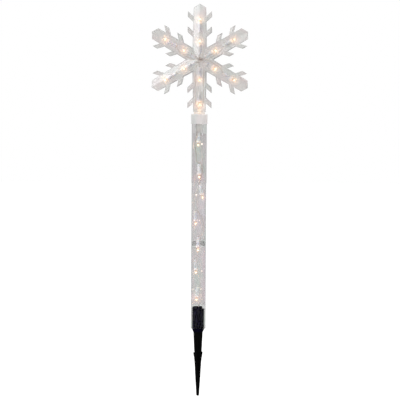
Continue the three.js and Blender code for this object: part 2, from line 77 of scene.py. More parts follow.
# ------------------------------------------------------------------ camera
AZ, EL, ROLL = math.radians(8.0), math.radians(3.0), 0.0062
back = Vector((math.sin(AZ) * math.cos(EL), -math.cos(AZ) * math.cos(EL), math.sin(EL)))
right = Vector((math.cos(AZ), math.sin(AZ), 0))
up = back.cross(right)
aim = Vector((0, 0, (size_cad[0][2] + size_cad[1][2]) / 2 + 0.0014)) + right * 0.0021
place = aim + back * 3.4
r2 = right * math.cos(ROLL) + up * math.sin(ROLL)
u2 = up * math.cos(ROLL) - right * math.sin(ROLL)
cam_data = bpy.data.cameras.new("camera")
cam = bpy.data.objects.new("camera", cam_data)
scene.collection.objects.link(cam)
cam.matrix_world = Matrix(
    (
        (r2.x, u2.x, back.x, place.x),
        (r2.y, u2.y, back.y, place.y),
        (r2.z, u2.z, back.z, place.z),
        (0, 0, 0, 1),
    )
)
cam_data.lens = 168.84
cam_data.sensor_width = 36
cam_data.clip_start = 0.05
cam_data.clip_end = 60
scene.camera = cam

scene.view_settings.view_transform = "Standard"
scene.view_settings.look = "None"
scene.cycles.max_bounces = 24
scene.cycles.transmission_bounces = 20
scene.cycles.transparent_max_bounces = 24
scene.cycles.glossy_bounces = 6
scene.cycles.diffuse_bounces = 3
scene.cycles.caustics_reflective = False
scene.cycles.caustics_refractive = True
scene.cycles.sample_clamp_indirect = 6.0
scene.cycles.blur_glossy = 0.3


# ------------------------------------------------------------------ node helpers
class Mat:
    """A material under construction."""

    def __init__(self, name):
        self.m = bpy.data.materials.new(name)
        self.m.use_nodes = True
        self.t = self.m.node_tree
        self.t.nodes.clear()
        self.out = self.node("ShaderNodeOutputMaterial")

    def node(self, kind, props=None, **inputs):
        n = self.t.nodes.new(kind)
        for k, v in (props or {}).items():
            setattr(n, k, v)
        for k, v in inputs.items():
            self.set(n, k.replace("_", " "), v)
        return n

    def set(self, n, key, v):
        sock = n.inputs[int(key)] if key.isdigit() else n.inputs[key]
        if isinstance(v, bpy.types.NodeSocket):
            self.t.links.new(v, sock)
        else:
            sock.default_value = v

    def link(self, a, b):
        self.t.links.new(a, b)

    def coords(self, scale=(1, 1, 1), rot=(0, 0, 0), kind="Object"):
        tc = self.node("ShaderNodeTexCoord")
        mp = self.node("ShaderNodeMapping")
        mp.inputs["Scale"].default_value = scale
        mp.inputs["Rotation"].default_value = rot
        self.link(tc.outputs[kind], mp.inputs["Vector"])
        return mp.outputs["Vector"]

    def noise(self, vec, scale, detail=2.0, rough=0.5, distortion=0.0):
        n = self.node("ShaderNodeTexNoise")
        self.link(vec, n.inputs["Vector"])
        n.inputs["Scale"].default_value = scale
        n.inputs["Detail"].default_value = detail
        n.inputs["Roughness"].default_value = rough
        n.inputs["Distortion"].default_value = distortion
        return n.outputs["Fac"]

    def ramp(self, fac, stops, mode="LINEAR"):
        r = self.node("ShaderNodeValToRGB")
        r.color_ramp.interpolation = mode
        while len(r.color_ramp.elements) < len(stops):
            r.color_ramp.elements.new(0.5)
        for e, (p, c) in zip(r.color_ramp.elements, stops):
            e.position = p
            e.color = (*c, 1) if len(c) == 3 else c
        self.link(fac, r.inputs["Fac"])
        return r.outputs["Color"]

    def remap(self, value, a, b, c, d):
        r = self.node("ShaderNodeMapRange")
        r.clamp = True
        self.link(value, r.inputs["Value"])
        for k, v in (("From Min", a), ("From Max", b), ("To Min", c), ("To Max", d)):
            r.inputs[k].default_value = v
        return r.outputs["Result"]

    def math(self, op, a, b=None):
        n = self.node("ShaderNodeMath", {"operation": op})
        for i, v in enumerate((a, b)):
            if v is None:
                continue
            if isinstance(v, bpy.types.NodeSocket):
                self.link(v, n.inputs[i])
            else:
                n.inputs[i].default_value = v
        return n.outputs[0]

    def bump(self, height, strength, distance, normal=None):
        b = self.node("ShaderNodeBump")
        b.inputs["Strength"].default_value = strength
        b.inputs["Distance"].default_value = distance
        self.link(height, b.inputs["Height"])
        if normal is not None:
            self.link(normal, b.inputs["Normal"])
        return b.outputs["Normal"]

    def principled(self, **inputs):
        return self.node("ShaderNodeBsdfPrincipled", None, **inputs)

    def surface(self, socket):
        self.link(socket, self.out.inputs["Surface"])

    def clear_to_lamps(self, socket, colour=(0.93, 0.93, 0.93, 1)):
        """Glass that lets lamp light through to what is inside it."""
        lp = self.node("ShaderNodeLightPath")
        tr = self.node("ShaderNodeBsdfTransparent")
        tr.inputs["Color"].default_value = colour
        mix = self.node("ShaderNodeMixShader")
        self.link(lp.outputs["Is Shadow Ray"], mix.inputs["Fac"])
        self.link(socket, mix.inputs[1])
        self.link(tr.outputs["BSDF"], mix.inputs[2])
        return mix.outputs["Shader"]

    def absorb(self, colour, density):
        v = self.node("ShaderNodeVolumeAbsorption")
        v.inputs["Color"].default_value = colour
        v.inputs["Density"].default_value = density
        self.link(v.outputs["Volume"], self.out.inputs["Volume"])


# ------------------------------------------------------------------ lamp positions
# the centre of the arms: the top arm's inner holder starts 9.8 mm above it
FLAKE_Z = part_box("lamp_holder_head_01")[0].z / MM - 9.8
# filament point and lean of each lamp in the pole
pole_lamps = [
    (-1.9, 0.1, 375.6, -0.1, 0),
    (0.4, 0.8, 317.5, 0.03, 0.02),
    (6.8, -1.2, 280.9, 0.2, -0.02),
    (-5.6, -0.6, 233.0, 0.05, 0),
    (-0.8, -2.4, 185.0, -0.02, -0.02),
    (-4.5, -0.4, 144.1, 0.05, 0.02),
    (-2.9, -1.2, 94.6, -0.1, 0),
]


# ------------------------------------------------------------------ materials
def arm_glow(m):
    """Lamp light caught in the snowflake's plastic: a warm halo round each filament, broken into sparks near it."""
    tc = m.node("ShaderNodeTexCoord")
    sep = m.node("ShaderNodeSeparateXYZ")
    m.link(tc.outputs["Object"], sep.inputs[0])
    x = m.math("MULTIPLY", sep.outputs["X"], 1000.0)
    z = m.math("SUBTRACT", m.math("MULTIPLY", sep.outputs["Z"], 1000.0), FLAKE_Z)
    rho = m.math("SQRT", m.math("ADD", m.math("MULTIPLY", x, x), m.math("MULTIPLY", z, z)))
    theta = m.math("ARCTAN2", z, x)
    wrap = m.node("ShaderNodeMath", {"operation": "WRAP"})
    m.link(m.math("ADD", theta, math.pi / 6), wrap.inputs[0])
    wrap.inputs[1].default_value = math.pi / 6
    wrap.inputs[2].default_value = -math.pi / 6
    a = m.math("MULTIPLY", rho, m.math("COSINE", wrap.outputs[0]))
    l = m.math("MULTIPLY", rho, m.math("SINE", wrap.outputs[0]))
    low = m.math("LESS_THAN", m.math("DIVIDE", z, m.math("ADD", rho, 0.01)), -0.866)
    wobble = m.math("MULTIPLY", m.math("SUBTRACT", m.noise(m.coords(), 150, 2, 0.6), 0.5), 9.0)
    halo = spark = None
    for base, extra, reach in ((33.3, 3.4, 13.5), (72.9, 8.2, 13.5)):
        da = m.math("SUBTRACT", a, m.math("ADD", m.math("MULTIPLY", low, extra), base))
        d = m.math("SQRT", m.math("ADD", m.math("MULTIPLY", da, da), m.math("MULTIPLY", l, l)))
        d = m.math("ADD", d, wobble)
        h = m.math("POWER", m.remap(d, 0.0, reach, 1.0, 0.0), 1.6)
        k = m.math("POWER", m.remap(d, 1.0, 10.0, 1.0, 0.0), 0.9)
        halo = h if halo is None else m.math("ADD", halo, h)
        spark = k if spark is None else m.math("ADD", spark, k)
    # the lowest lamp lights the whole foot of its arm
    foot = m.math("SUBTRACT", z, -(FLAKE_Z - 445.0))
    foot = m.math("POWER", m.remap(m.math("ABSOLUTE", foot), 5.0, 16.0, 1.0, 0.0), 1.2)
    foot = m.math("MULTIPLY", foot, m.remap(m.math("ABSOLUTE", x), 6.0, 11.4, 1.0, 0.0))
    halo = m.math("ADD", halo, m.math("MULTIPLY", m.math("MULTIPLY", foot, low), 0.8))
    # speckle that breaks the painted lamp glow into painted sparks
    grain = m.noise(m.coords((1, 1, 0.8)), 430, 1, 0.5)
    spark = m.math("MULTIPLY", spark, m.math("POWER", m.remap(grain, 0.53, 0.66, 0.0, 1.0), 1.5))
    total = m.math("ADD", m.math("MULTIPLY", halo, 0.045), m.math("MULTIPLY", spark, 0.32))
    colour = m.ramp(spark, [(0.0, (1.0, 0.46, 0.18)), (0.3, (1.0, 0.50, 0.18)), (0.8, (1.0, 0.62, 0.26))])
    return colour, total


def clear_plastic(name, tints, grain, rough, haze, haze_rough, absorb_colour, density, streak=None, bump_mm=0.02, ior=1.47, glow=None, shine=0.5, sheen=None):
    m = Mat(name)
    co = m.coords()
    colour = m.ramp(m.noise(co, 42, 2, 0.5), tints)
    fine = m.noise(co, grain, 3, 0.55)
    height = fine
    if streak:
        height = m.math("ADD", fine, m.noise(m.coords(streak), 1, 2, 0.5))
    normal = m.bump(height, 0.5, bump_mm * MM)
    rg = m.remap(m.noise(co, 260, 2, 0.6), 0.3, 0.7, rough[0], rough[1])
    a = m.principled(Base_Color=colour, Roughness=rg, Normal=normal)
    a.inputs["IOR"].default_value = ior
    a.inputs["Transmission Weight"].default_value = 1.0
    shader = a.outputs["BSDF"]
    b = a
    if haze:
        b = m.principled(Base_Color=colour, Normal=normal)
        b.inputs["IOR"].default_value = ior
        b.inputs["Transmission Weight"].default_value = 1.0
        b.inputs["Roughness"].default_value = haze_rough
        mix = m.node("ShaderNodeMixShader")
        mix.inputs["Fac"].default_value = haze
        m.link(shader, mix.inputs[1])
        m.link(b.outputs["BSDF"], mix.inputs[2])
        shader = mix.outputs["Shader"]
    for node in (a, b):
        node.inputs["Specular IOR Level"].default_value = shine
        if sheen:
            node.inputs["Coat Weight"].default_value = 1.0
            node.inputs["Coat Roughness"].default_value = sheen
            node.inputs["Coat IOR"].default_value = 1.5
    if glow:
        hue, strength = glow(m)
        for node in (a, b):
            m.link(hue, node.inputs["Emission Color"])
            m.link(strength, node.inputs["Emission Strength"])
        m.m.cycles.emission_sampling = "NONE"
    m.surface(m.clear_to_lamps(shader))
    m.absorb(absorb_colour, density)
    return m.m


FLAKE = clear_plastic(
    "clear_flake",
    [(0.36, (0.985, 0.94, 0.935)), (0.5, (0.975, 0.96, 0.95)), (0.64, (0.955, 0.965, 0.95))],
    grain=60,
    rough=(0.15, 0.18),
    haze=0.12,
    haze_rough=0.6,
    absorb_colour=(0.545, 0.535, 0.52, 1),
    density=50,
    bump_mm=0.004,
    glow=arm_glow,
    shine=0.05,
    sheen=0.3,
)
TUBE = clear_plastic(
    "clear_tube",
    [(0.36, (0.97, 0.935, 0.955)), (0.5, (0.955, 0.955, 0.955)), (0.64, (0.93, 0.96, 0.94))],
    grain=500,
    rough=(0.0, 0.02),
    haze=0.0,
    haze_rough=0.5,
    absorb_colour=(0.52, 0.55, 0.53, 1),
    density=60,
    streak=(900, 900, 14),
    bump_mm=0.01,
    ior=1.22,
    shine=0.12,
)
SLEEVE = clear_plastic(
    "clear_sleeve",
    [(0.36, (0.97, 0.95, 0.965)), (0.5, (0.96, 0.96, 0.96)), (0.64, (0.945, 0.96, 0.95))],
    grain=500,
    rough=(0.02, 0.05),
    haze=0.0,
    haze_rough=0.5,
    absorb_colour=(0.52, 0.55, 0.53, 1),
    density=60,
    streak=(900, 900, 14),
    bump_mm=0.01,
    ior=1.04,
    shine=0.1,
)


def foot_glow(m):
    """Light of the lowest lamp of the snowflake in the top of the stem."""
    tc = m.node("ShaderNodeTexCoord")
    sep = m.node("ShaderNodeSeparateXYZ")
    m.link(tc.outputs["Object"], sep.inputs[0])
    up_ = m.remap(sep.outputs["Z"], 0.424, 0.436, 0.0, 1.0)
    ripple = m.remap(m.noise(m.coords((1, 1, 0.2)), 420, 2, 0.5), 0.35, 0.65, 0.55, 1.3)
    return m.ramp(up_, [(0.0, (1.0, 0.60, 0.34)), (1.0, (1.0, 0.66, 0.40))]), m.math("MULTIPLY", m.math("MULTIPLY", up_, ripple), 0.16)


STEM = clear_plastic(
    "clear_stem",
    [(0.36, (0.985, 0.965, 0.95)), (0.5, (0.975, 0.97, 0.96)), (0.64, (0.96, 0.97, 0.96))],
    grain=800,
    rough=(0.08, 0.15),
    haze=0.4,
    haze_rough=0.5,
    absorb_colour=(0.66, 0.63, 0.60, 1),
    density=2,
    bump_mm=0.03,
    ior=1.32,
    glow=foot_glow,
)


def milky(name, light, tints, sss=0.35, rough=(0.3, 0.45), grain=900, bump=0.02, through=0.0, side_shade=None):
    m = Mat(name)
    co = m.coords()
    cloud_shade = m.noise(co, 30, 2, 0.5)
    if side_shade:
        # painted shade across the piece, darker on the left and lighter on the right: share of the painted shade
        # against the clouding, and its length
        share_, length = side_shade
        tc = m.node("ShaderNodeTexCoord")
        sep = m.node("ShaderNodeSeparateXYZ")
        m.link(tc.outputs["Object"], sep.inputs[0])
        across = m.remap(sep.outputs["X"], -length / 2, length / 2, 0.36, 0.64)
        cloud_shade = m.math("ADD", m.math("MULTIPLY", across, share_), m.math("MULTIPLY", cloud_shade, 1 - share_))
    base = m.ramp(cloud_shade, tints)
    speck = m.remap(m.noise(co, 2200, 2, 0.6), 0.25, 0.75, 0.93, 1.0)
    mixed = m.node("ShaderNodeMix", {"data_type": "RGBA", "blend_type": "MULTIPLY"})
    mixed.inputs[0].default_value = 1.0
    m.link(base, mixed.inputs[6])
    m.link(speck, mixed.inputs[7])
    normal = m.bump(m.noise(co, grain, 3, 0.6), 0.6, bump * MM)
    rg = m.remap(m.noise(co, 400, 2, 0.5), 0.3, 0.7, rough[0], rough[1])
    p = m.principled(Base_Color=mixed.outputs[2], Roughness=rg, Normal=normal)
    p.inputs["Subsurface Weight"].default_value = sss
    p.inputs["Subsurface Radius"].default_value = (1.0, 0.95, 0.9)
    p.inputs["Subsurface Scale"].default_value = 0.004
    p.inputs["IOR"].default_value = 1.49
    if through:
        tr = m.node("ShaderNodeBsdfTranslucent")
        m.link(mixed.outputs[2], tr.inputs["Color"])
        mix = m.node("ShaderNodeMixShader")
        mix.inputs["Fac"].default_value = through
        m.link(p.outputs["BSDF"], mix.inputs[1])
        m.link(tr.outputs["BSDF"], mix.inputs[2])
        m.surface(mix.outputs["Shader"])
    else:
        m.surface(p.outputs["BSDF"])
    return m.m


# the cap's colours run from a darker grey on the left to a pinker white on the right along X: painted shade and light
# across the cap
CAP = milky(
    "frosted_cap",
    0,
    [(0.42, (0.735, 0.74, 0.72)), (0.5, (0.89, 0.82, 0.805)), (0.58, (0.99, 0.92, 0.90))],
    side_shade=(0.8, 0.022),
)
# painted highlight: a whiter, hazier copy of the stem plastic, put on the stem's left and right sides to stand in for
# the bright bars along its edges
STEM_SHEEN = clear_plastic(
    "stem_painted_sheen",
    [(0.36, (0.99, 0.985, 0.98)), (0.5, (0.99, 0.99, 0.985)), (0.64, (0.985, 0.99, 0.985))],
    grain=600,
    rough=(0.25, 0.4),
    haze=0.7,
    haze_rough=0.85,
    absorb_colour=(0.66, 0.63, 0.60, 1),
    density=2,
    bump_mm=0.03,
    ior=1.2,
    sheen=0.3,
)


def holder_material():
    m = Mat("lamp_holder")
    co = m.coords()
    sep = m.node("ShaderNodeSeparateXYZ")
    m.link(co, sep.inputs[0])
    tint = m.ramp(
        m.noise(co, 160, 2, 0.5),
        [(0.35, (0.88, 0.87, 0.91)), (0.5, (0.92, 0.905, 0.905)), (0.65, (0.94, 0.90, 0.88))],
    )
    normal = m.bump(m.noise(co, 1500, 2, 0.5), 0.4, 0.03 * MM)
    rg = m.remap(m.noise(co, 500, 2, 0.5), 0.3, 0.7, 0.2, 0.34)
    p = m.principled(Base_Color=tint, Roughness=rg, Normal=normal)
    p.inputs["Subsurface Weight"].default_value = 0.35
    p.inputs["Subsurface Radius"].default_value = (1.0, 0.8, 0.6)
    p.inputs["Subsurface Scale"].default_value = 0.003
    # lamp light soaking into the mouth of the holder
    glow = m.remap(sep.outputs["Z"], 13.5 * MM, 19.2 * MM, 0.0, 1.0)
    glow = m.math("POWER", glow, 1.8)
    glow = m.math("MULTIPLY", glow, 0.42)
    p.inputs["Emission Color"].default_value = (1.0, 0.50, 0.24, 1)
    m.link(glow, p.inputs["Emission Strength"])
    m.surface(p.outputs["BSDF"])
    return m.m


def bulb_material():
    m = Mat("bulb_glass")
    tc = m.node("ShaderNodeTexCoord")
    dist = m.node("ShaderNodeVectorMath", {"operation": "DISTANCE"})
    m.link(tc.outputs["Object"], dist.inputs[0])
    dist.inputs[1].default_value = (0, 0, 23.4 * MM)
    near = m.remap(dist.outputs["Value"], 1.4 * MM, 5.5 * MM, 1.0, 0.0)
    ripple = m.noise(m.coords(), 700, 2, 0.5)
    strength = m.math("MULTIPLY", m.math("POWER", near, 2.0), m.remap(ripple, 0.3, 0.7, 0.75, 1.25))
    strength = m.math("MULTIPLY", strength, 0.19)
    normal = m.bump(ripple, 0.3, 0.02 * MM)
    p = m.principled(Normal=normal)
    p.inputs["Base Color"].default_value = (1.0, 0.985, 0.95, 1)
    p.inputs["Roughness"].default_value = 0.02
    p.inputs["IOR"].default_value = 1.45
    p.inputs["Transmission Weight"].default_value = 1.0
    colour = m.ramp(near, [(0.0, (1.0, 0.36, 0.11)), (0.6, (1.0, 0.50, 0.20)), (1.0, (1.0, 0.70, 0.36))])
    m.link(colour, p.inputs["Emission Color"])
    m.link(strength, p.inputs["Emission Strength"])
    m.surface(m.clear_to_lamps(p.outputs["BSDF"], (0.97, 0.97, 0.97, 1)))
    m.m.cycles.emission_sampling = "NONE"
    return m.m


def filament_material():
    m = Mat("filament")
    tc = m.node("ShaderNodeTexCoord")
    dist = m.node("ShaderNodeVectorMath", {"operation": "DISTANCE"})
    m.link(tc.outputs["Object"], dist.inputs[0])
    dist.inputs[1].default_value = (0, 0, 23.5 * MM)
    heat = m.remap(dist.outputs["Value"], 0.1 * MM, 1.6 * MM, 1.0, 0.0)
    colour = m.ramp(heat, [(0.0, (1.0, 0.36, 0.10)), (0.5, (1.0, 0.66, 0.34)), (1.0, (1.0, 0.86, 0.62))])
    strength = m.remap(heat, 0.0, 1.0, 4.0, 26.0)
    p = m.principled()
    p.inputs["Base Color"].default_value = (0.3, 0.3, 0.3, 1)
    p.inputs["Roughness"].default_value = 0.5
    m.link(colour, p.inputs["Emission Color"])
    m.link(strength, p.inputs["Emission Strength"])
    m.surface(p.outputs["BSDF"])
    m.m.cycles.emission_sampling = "NONE"
    return m.m


def lead_material():
    m = Mat("lamp_lead")
    co = m.coords()
    rg = m.remap(m.noise(co, 3000, 2, 0.5), 0.3, 0.7, 0.25, 0.5)
    tint = m.ramp(m.noise(co, 900, 2, 0.5), [(0.4, (0.42, 0.33, 0.25)), (0.6, (0.52, 0.45, 0.38))])
    p = m.principled(Base_Color=tint, Roughness=rg)
    p.inputs["Metallic"].default_value = 1.0
    m.surface(p.outputs["BSDF"])
    return m.m


def wire_material(name, dark, light, coat=0.7):
    """Twisted copper strands under a clear, shiny insulation."""
    m = Mat(name)
    uv = m.coords(kind="UV")
    wave = m.node("ShaderNodeTexWave", {"wave_type": "BANDS", "bands_direction": "DIAGONAL"})
    m.link(uv, wave.inputs["Vector"])
    wave.inputs["Scale"].default_value = 3.1
    wave.inputs["Distortion"].default_value = 0.6
    age = m.noise(m.coords(), 90, 2, 0.5)
    fac = m.math("ADD", m.math("MULTIPLY", wave.outputs["Fac"], 0.45), m.math("MULTIPLY", age, 0.55))
    colour = m.ramp(fac, [(0.25, dark), (0.75, light)])
    normal = m.bump(wave.outputs["Fac"], 0.25, 0.08 * MM)
    rg = m.remap(age, 0.3, 0.7, 0.3, 0.5)
    p = m.principled(Base_Color=colour, Roughness=rg, Normal=normal)
    p.inputs["Metallic"].default_value = 0.15
    p.inputs["Coat Weight"].default_value = coat
    p.inputs["Coat Roughness"].default_value = 0.08
    m.surface(p.outputs["BSDF"])
    return m.m


# light of the lamps caught in folds of the film: sideways, height, strength
CAUGHT = [(5.0, 376.9, 1.0), (-4.6, 284.6, 0.8), (1.6, 237.9, 0.5), (6.2, 146.0, 0.5), (5.2, 112.8, 0.8), (-9.0, 112.8, 0.35)]


def film_glow(m):
    """Warm halos behind the lamps and small caught lights."""
    tc = m.node("ShaderNodeTexCoord")
    flat = m.node("ShaderNodeVectorMath", {"operation": "MULTIPLY"})
    m.link(tc.outputs["Object"], flat.inputs[0])
    flat.inputs[1].default_value = (1000.0, 0.0, 1000.0)
    wobble = m.math("MULTIPLY", m.math("SUBTRACT", m.noise(m.coords(), 260, 2, 0.6), 0.5), 3.0)

    def near(x, z, reach, power):
        d = m.node("ShaderNodeVectorMath", {"operation": "DISTANCE"})
        m.link(flat.outputs[0], d.inputs[0])
        d.inputs[1].default_value = (x, 0, z)
        return m.math("POWER", m.remap(m.math("ADD", d.outputs["Value"], wobble), 0.0, reach, 1.0, 0.0), power)

    halo = spots = None
    for x, y, z, lx, ly in pole_lamps:
        if z < 100:
            # the lowest lamp lights up its whole holder
            h = m.math("MULTIPLY", near(x - 1.4, z + 4.0, 14.0, 1.5), 1.5)
        else:
            h = near(x - 1.4, z, 11.0, 2.2)
        halo = h if halo is None else m.math("ADD", halo, h)
    for x, z, size in CAUGHT:
        h = m.math("MULTIPLY", near(x - 1.4, z, 2.7, 2.0), size)
        spots = h if spots is None else m.math("ADD", spots, h)
    total = m.math("ADD", m.math("MULTIPLY", halo, 0.13), m.math("MULTIPLY", spots, 1.1))
    colour = m.ramp(spots, [(0.0, (1.0, 0.62, 0.48)), (0.4, (1.0, 0.80, 0.66)), (1.0, (1.0, 0.93, 0.84))])
    return colour, total


def film_material():
    """Thin crinkled iridescent film: mostly see-through, its folds catch the light."""
    m = Mat("film")
    co = m.coords((1, 1, 0.35))
    broad = m.noise(co, 40, 2, 0.5, 0.4)
    tint = m.ramp(
        broad,
        [
            (0.30, (0.80, 0.86, 0.82)),
            (0.42, (0.85, 0.84, 0.86)),
            (0.5, (0.90, 0.83, 0.855)),
            (0.58, (0.84, 0.85, 0.89)),
            (0.70, (0.88, 0.85, 0.84)),
        ],
    )
    crease = m.noise(m.coords((1, 1, 0.07)), 300, 2, 0.5, 0.4)
    share = m.remap(crease, 0.36, 0.66, 0.125, 0.16)
    normal = m.bump(crease, 0.25, 0.09 * MM)
    p = m.principled(Base_Color=tint, Normal=normal)
    p.inputs["Roughness"].default_value = 0.6
    p.inputs["Metallic"].default_value = 0.0
    tr = m.node("ShaderNodeBsdfTransparent")
    pale = m.ramp(broad, [(0.3, (0.925, 0.955, 0.935)), (0.5, (0.955, 0.93, 0.94)), (0.7, (0.94, 0.935, 0.95))])
    m.link(pale, tr.inputs["Color"])
    mix = m.node("ShaderNodeMixShader")
    m.link(share, mix.inputs["Fac"])
    m.link(tr.outputs["BSDF"], mix.inputs[1])
    m.link(p.outputs["BSDF"], mix.inputs[2])
    hue, strength = film_glow(m)
    em = m.node("ShaderNodeEmission")
    m.link(hue, em.inputs["Color"])
    m.link(strength, em.inputs["Strength"])
    both = m.node("ShaderNodeAddShader")
    m.link(mix.outputs["Shader"], both.inputs[0])
    m.link(em.outputs[0], both.inputs[1])
    m.surface(both.outputs["Shader"])
    m.m.cycles.emission_sampling = "NONE"
    return m.m


def liner_material():
    m = Mat("liner")
    co = m.coords((1, 1, 0.5))
    crease = m.noise(co, 380, 3, 0.6, 0.7)
    tint = m.ramp(crease, [(0.3, (0.62, 0.62, 0.625)), (0.7, (0.76, 0.75, 0.75))])
    share = m.remap(m.noise(m.coords(), 210, 3, 0.6), 0.35, 0.65, 0.2, 0.44)
    normal = m.bump(crease, 0.8, 0.3 * MM)
    p = m.principled(Base_Color=tint, Normal=normal)
    p.inputs["Roughness"].default_value = 0.45
    tr = m.node("ShaderNodeBsdfTransparent")
    tr.inputs["Color"].default_value = (0.84, 0.84, 0.84, 1)
    mix = m.node("ShaderNodeMixShader")
    m.link(share, mix.inputs["Fac"])
    m.link(tr.outputs["BSDF"], mix.inputs[1])
    m.link(p.outputs["BSDF"], mix.inputs[2])
    m.surface(mix.outputs["Shader"])
    return m.m


def black_plastic(name, dark, light, rough, spec, streaks=(260, 260, 9), bump=0.03):
    m = Mat(name)
    co = m.coords()
    flow = m.noise(m.coords(streaks), 1, 3, 0.6)
    grain = m.noise(co, 2600, 2, 0.6)
    dust = m.noise(co, 120, 3, 0.6)
    colour = m.ramp(m.math("ADD", m.math("MULTIPLY", flow, 0.5), m.math("MULTIPLY", dust, 0.5)), [(0.35, dark), (0.7, light)])
    rg = m.remap(m.math("ADD", m.math("MULTIPLY", flow, 0.6), m.math("MULTIPLY", dust, 0.4)), 0.35, 0.65, rough[0], rough[1])
    height = m.math("ADD", m.math("MULTIPLY", grain, 0.6), flow)
    normal = m.bump(height, 0.45, bump * MM)
    p = m.principled(Base_Color=colour, Roughness=rg, Normal=normal)
    p.inputs["Specular IOR Level"].default_value = spec
    m.surface(p.outputs["BSDF"])
    return m.m


HOLDER = holder_material()
BULB = bulb_material()
FILAMENT = filament_material()
LEAD = lead_material()
WIRE = wire_material("wire_clear", (0.78, 0.69, 0.64), (0.95, 0.91, 0.89))
WIRE_DARK = wire_material("wire_brown", (0.56, 0.44, 0.36), (0.82, 0.73, 0.67))
FILM = film_material()
LINER = liner_material()
BLACK = black_plastic("spike_black", (0.0008, 0.0008, 0.0009), (0.0028, 0.0028, 0.003), (0.22, 0.40), 0.12)
PLUG = black_plastic("plug_black", (0.0014, 0.0010, 0.0075), (0.003, 0.0024, 0.013), (0.36, 0.5), 0.03, (420, 420, 9))
RUBBER = black_plastic("gland_rubber", (0.008, 0.008, 0.008), (0.018, 0.018, 0.017), (0.6, 0.8), 0.3, (300, 300, 300), 0.06)
SPLICE = black_plastic("splice_brown", (0.40, 0.30, 0.24), (0.60, 0.48, 0.40), (0.3, 0.5), 0.5, (300, 300, 300), 0.04)


# ------------------------------------------------------------------ mesh helpers
def make(name, verts, faces, mats, uvs=None, face_mat=None, sharp=35):
    me = bpy.data.meshes.new(name)
    me.from_pydata([tuple(v) for v in verts], [], faces)
    for mt in mats:
        me.materials.append(mt)
    if uvs is not None:
        layer = me.uv_layers.new(name="UVMap")
        flat = [c for f in uvs for uv in f for c in uv]
        layer.data.foreach_set("uv", flat)
    if face_mat is not None:
        me.polygons.foreach_set("material_index", face_mat)
    bm = bmesh.new()
    bm.from_mesh(me)
    bmesh.ops.recalc_face_normals(bm, faces=bm.faces)
    bm.to_mesh(me)
    bm.free()
    finish_mesh(me, sharp)
    ob = bpy.data.objects.new(name, me)
    scene.collection.objects.link(ob)
    return ob


def finish_mesh(me, sharp=35):
    me.polygons.foreach_set("use_smooth", [True] * len(me.polygons))
    me.set_sharp_from_angle(angle=math.radians(sharp))
    me.update()


def turned_data(profile, seg, ring, base=0, a0=0.0):
    """Vertices, faces, uvs and face rows of a profile of (r, z) in millimetres turned about Z. ring closes the profile on itself."""
    verts, rows = [], []
    for r, z in profile:
        if r < 1e-6:
            rows.append([base + len(verts)])
            verts.append((0, 0, z * MM))
        else:
            row = []
            for j in range(seg):
                a = a0 + 2 * math.pi * j / seg
                row.append(base + len(verts))
                verts.append((r * MM * math.cos(a), r * MM * math.sin(a), z * MM))
            rows.append(row)
    lengths = [0.0]
    for (r0, z0), (r1, z1) in zip(profile, profile[1:] + profile[:1]):
        lengths.append(lengths[-1] + math.hypot(r1 - r0, z1 - z0) / 10)
    faces, uvs, ids = [], [], []
    n = len(rows)
    for i in range(n if ring else n - 1):
        a, b = rows[i], rows[(i + 1) % n]
        v0, v1 = lengths[i], lengths[i + 1]
        for j in range(seg):
            k = (j + 1) % seg
            u0, u1 = j / seg, (j + 1) / seg
            if len(a) == 1 and len(b) == 1:
                continue
            if len(a) == 1:
                faces.append((a[0], b[k], b[j]))
                uvs.append(((u0, v0), (u1, v1), (u0, v1)))
            elif len(b) == 1:
                faces.append((a[j], a[k], b[0]))
                uvs.append(((u0, v0), (u1, v0), (u0, v1)))
            else:
                faces.append((a[j], a[k], b[k], b[j]))
                uvs.append(((u0, v0), (u1, v0), (u1, v1), (u0, v1)))
            ids.append((i, j))
    return verts, faces, uvs, ids


def turned(name, profile, mats, seg=96, ring=False, sharp=35, pick=None):
    v, f, uv, ids = turned_data(profile, seg, ring)
    fm = [pick(i, j) for i, j in ids] if pick else None
    return make(name, v, f, mats, uv, fm, sharp)


def rounded(points, radius, steps=3, closed=True):
    """The profile with its corners rounded; a point may carry its own radius as a third value."""
    out = []
    n = len(points)
    for i, p in enumerate(points):
        r = p[2] if len(p) > 2 else radius
        if (not closed and i in (0, n - 1)) or r <= 0:
            out.append((p[0], p[1]))
            continue
        a, b = Vector(points[i - 1][:2]), Vector(points[(i + 1) % n][:2])
        q = Vector(p[:2])
        da, db = (a - q), (b - q)
        la, lb = da.length, db.length
        if la < 1e-9 or lb < 1e-9:
            continue
        half = math.acos(max(-1, min(1, da.normalized().dot(db.normalized())))) / 2
        if half > math.radians(88):
            out.append((p[0], p[1]))
            continue
        cut = min(r / math.tan(half), la * 0.45, lb * 0.45)
        s, e = q + da.normalized() * cut, q + db.normalized() * cut
        for k in range(steps + 1):
            t = k / steps
            c = s * (1 - t) ** 2 + q * 2 * t * (1 - t) + e * t**2
            out.append((c.x, c.y))
    return held(out, closed)


def held(profile, closed=True, reach=0.35):
    """Extra points close to the ends of long runs, so that long faces stay straight in the shading."""
    out = []
    n = len(profile)
    for i, p in enumerate(profile):
        out.append(p)
        if i == n - 1 and not closed:
            break
        a, b = Vector(p), Vector(profile[(i + 1) % n])
        d = b - a
        if d.length > 6 * reach:
            u = d.normalized() * reach
            out += [tuple(a + u), tuple(b - u)]
    return out


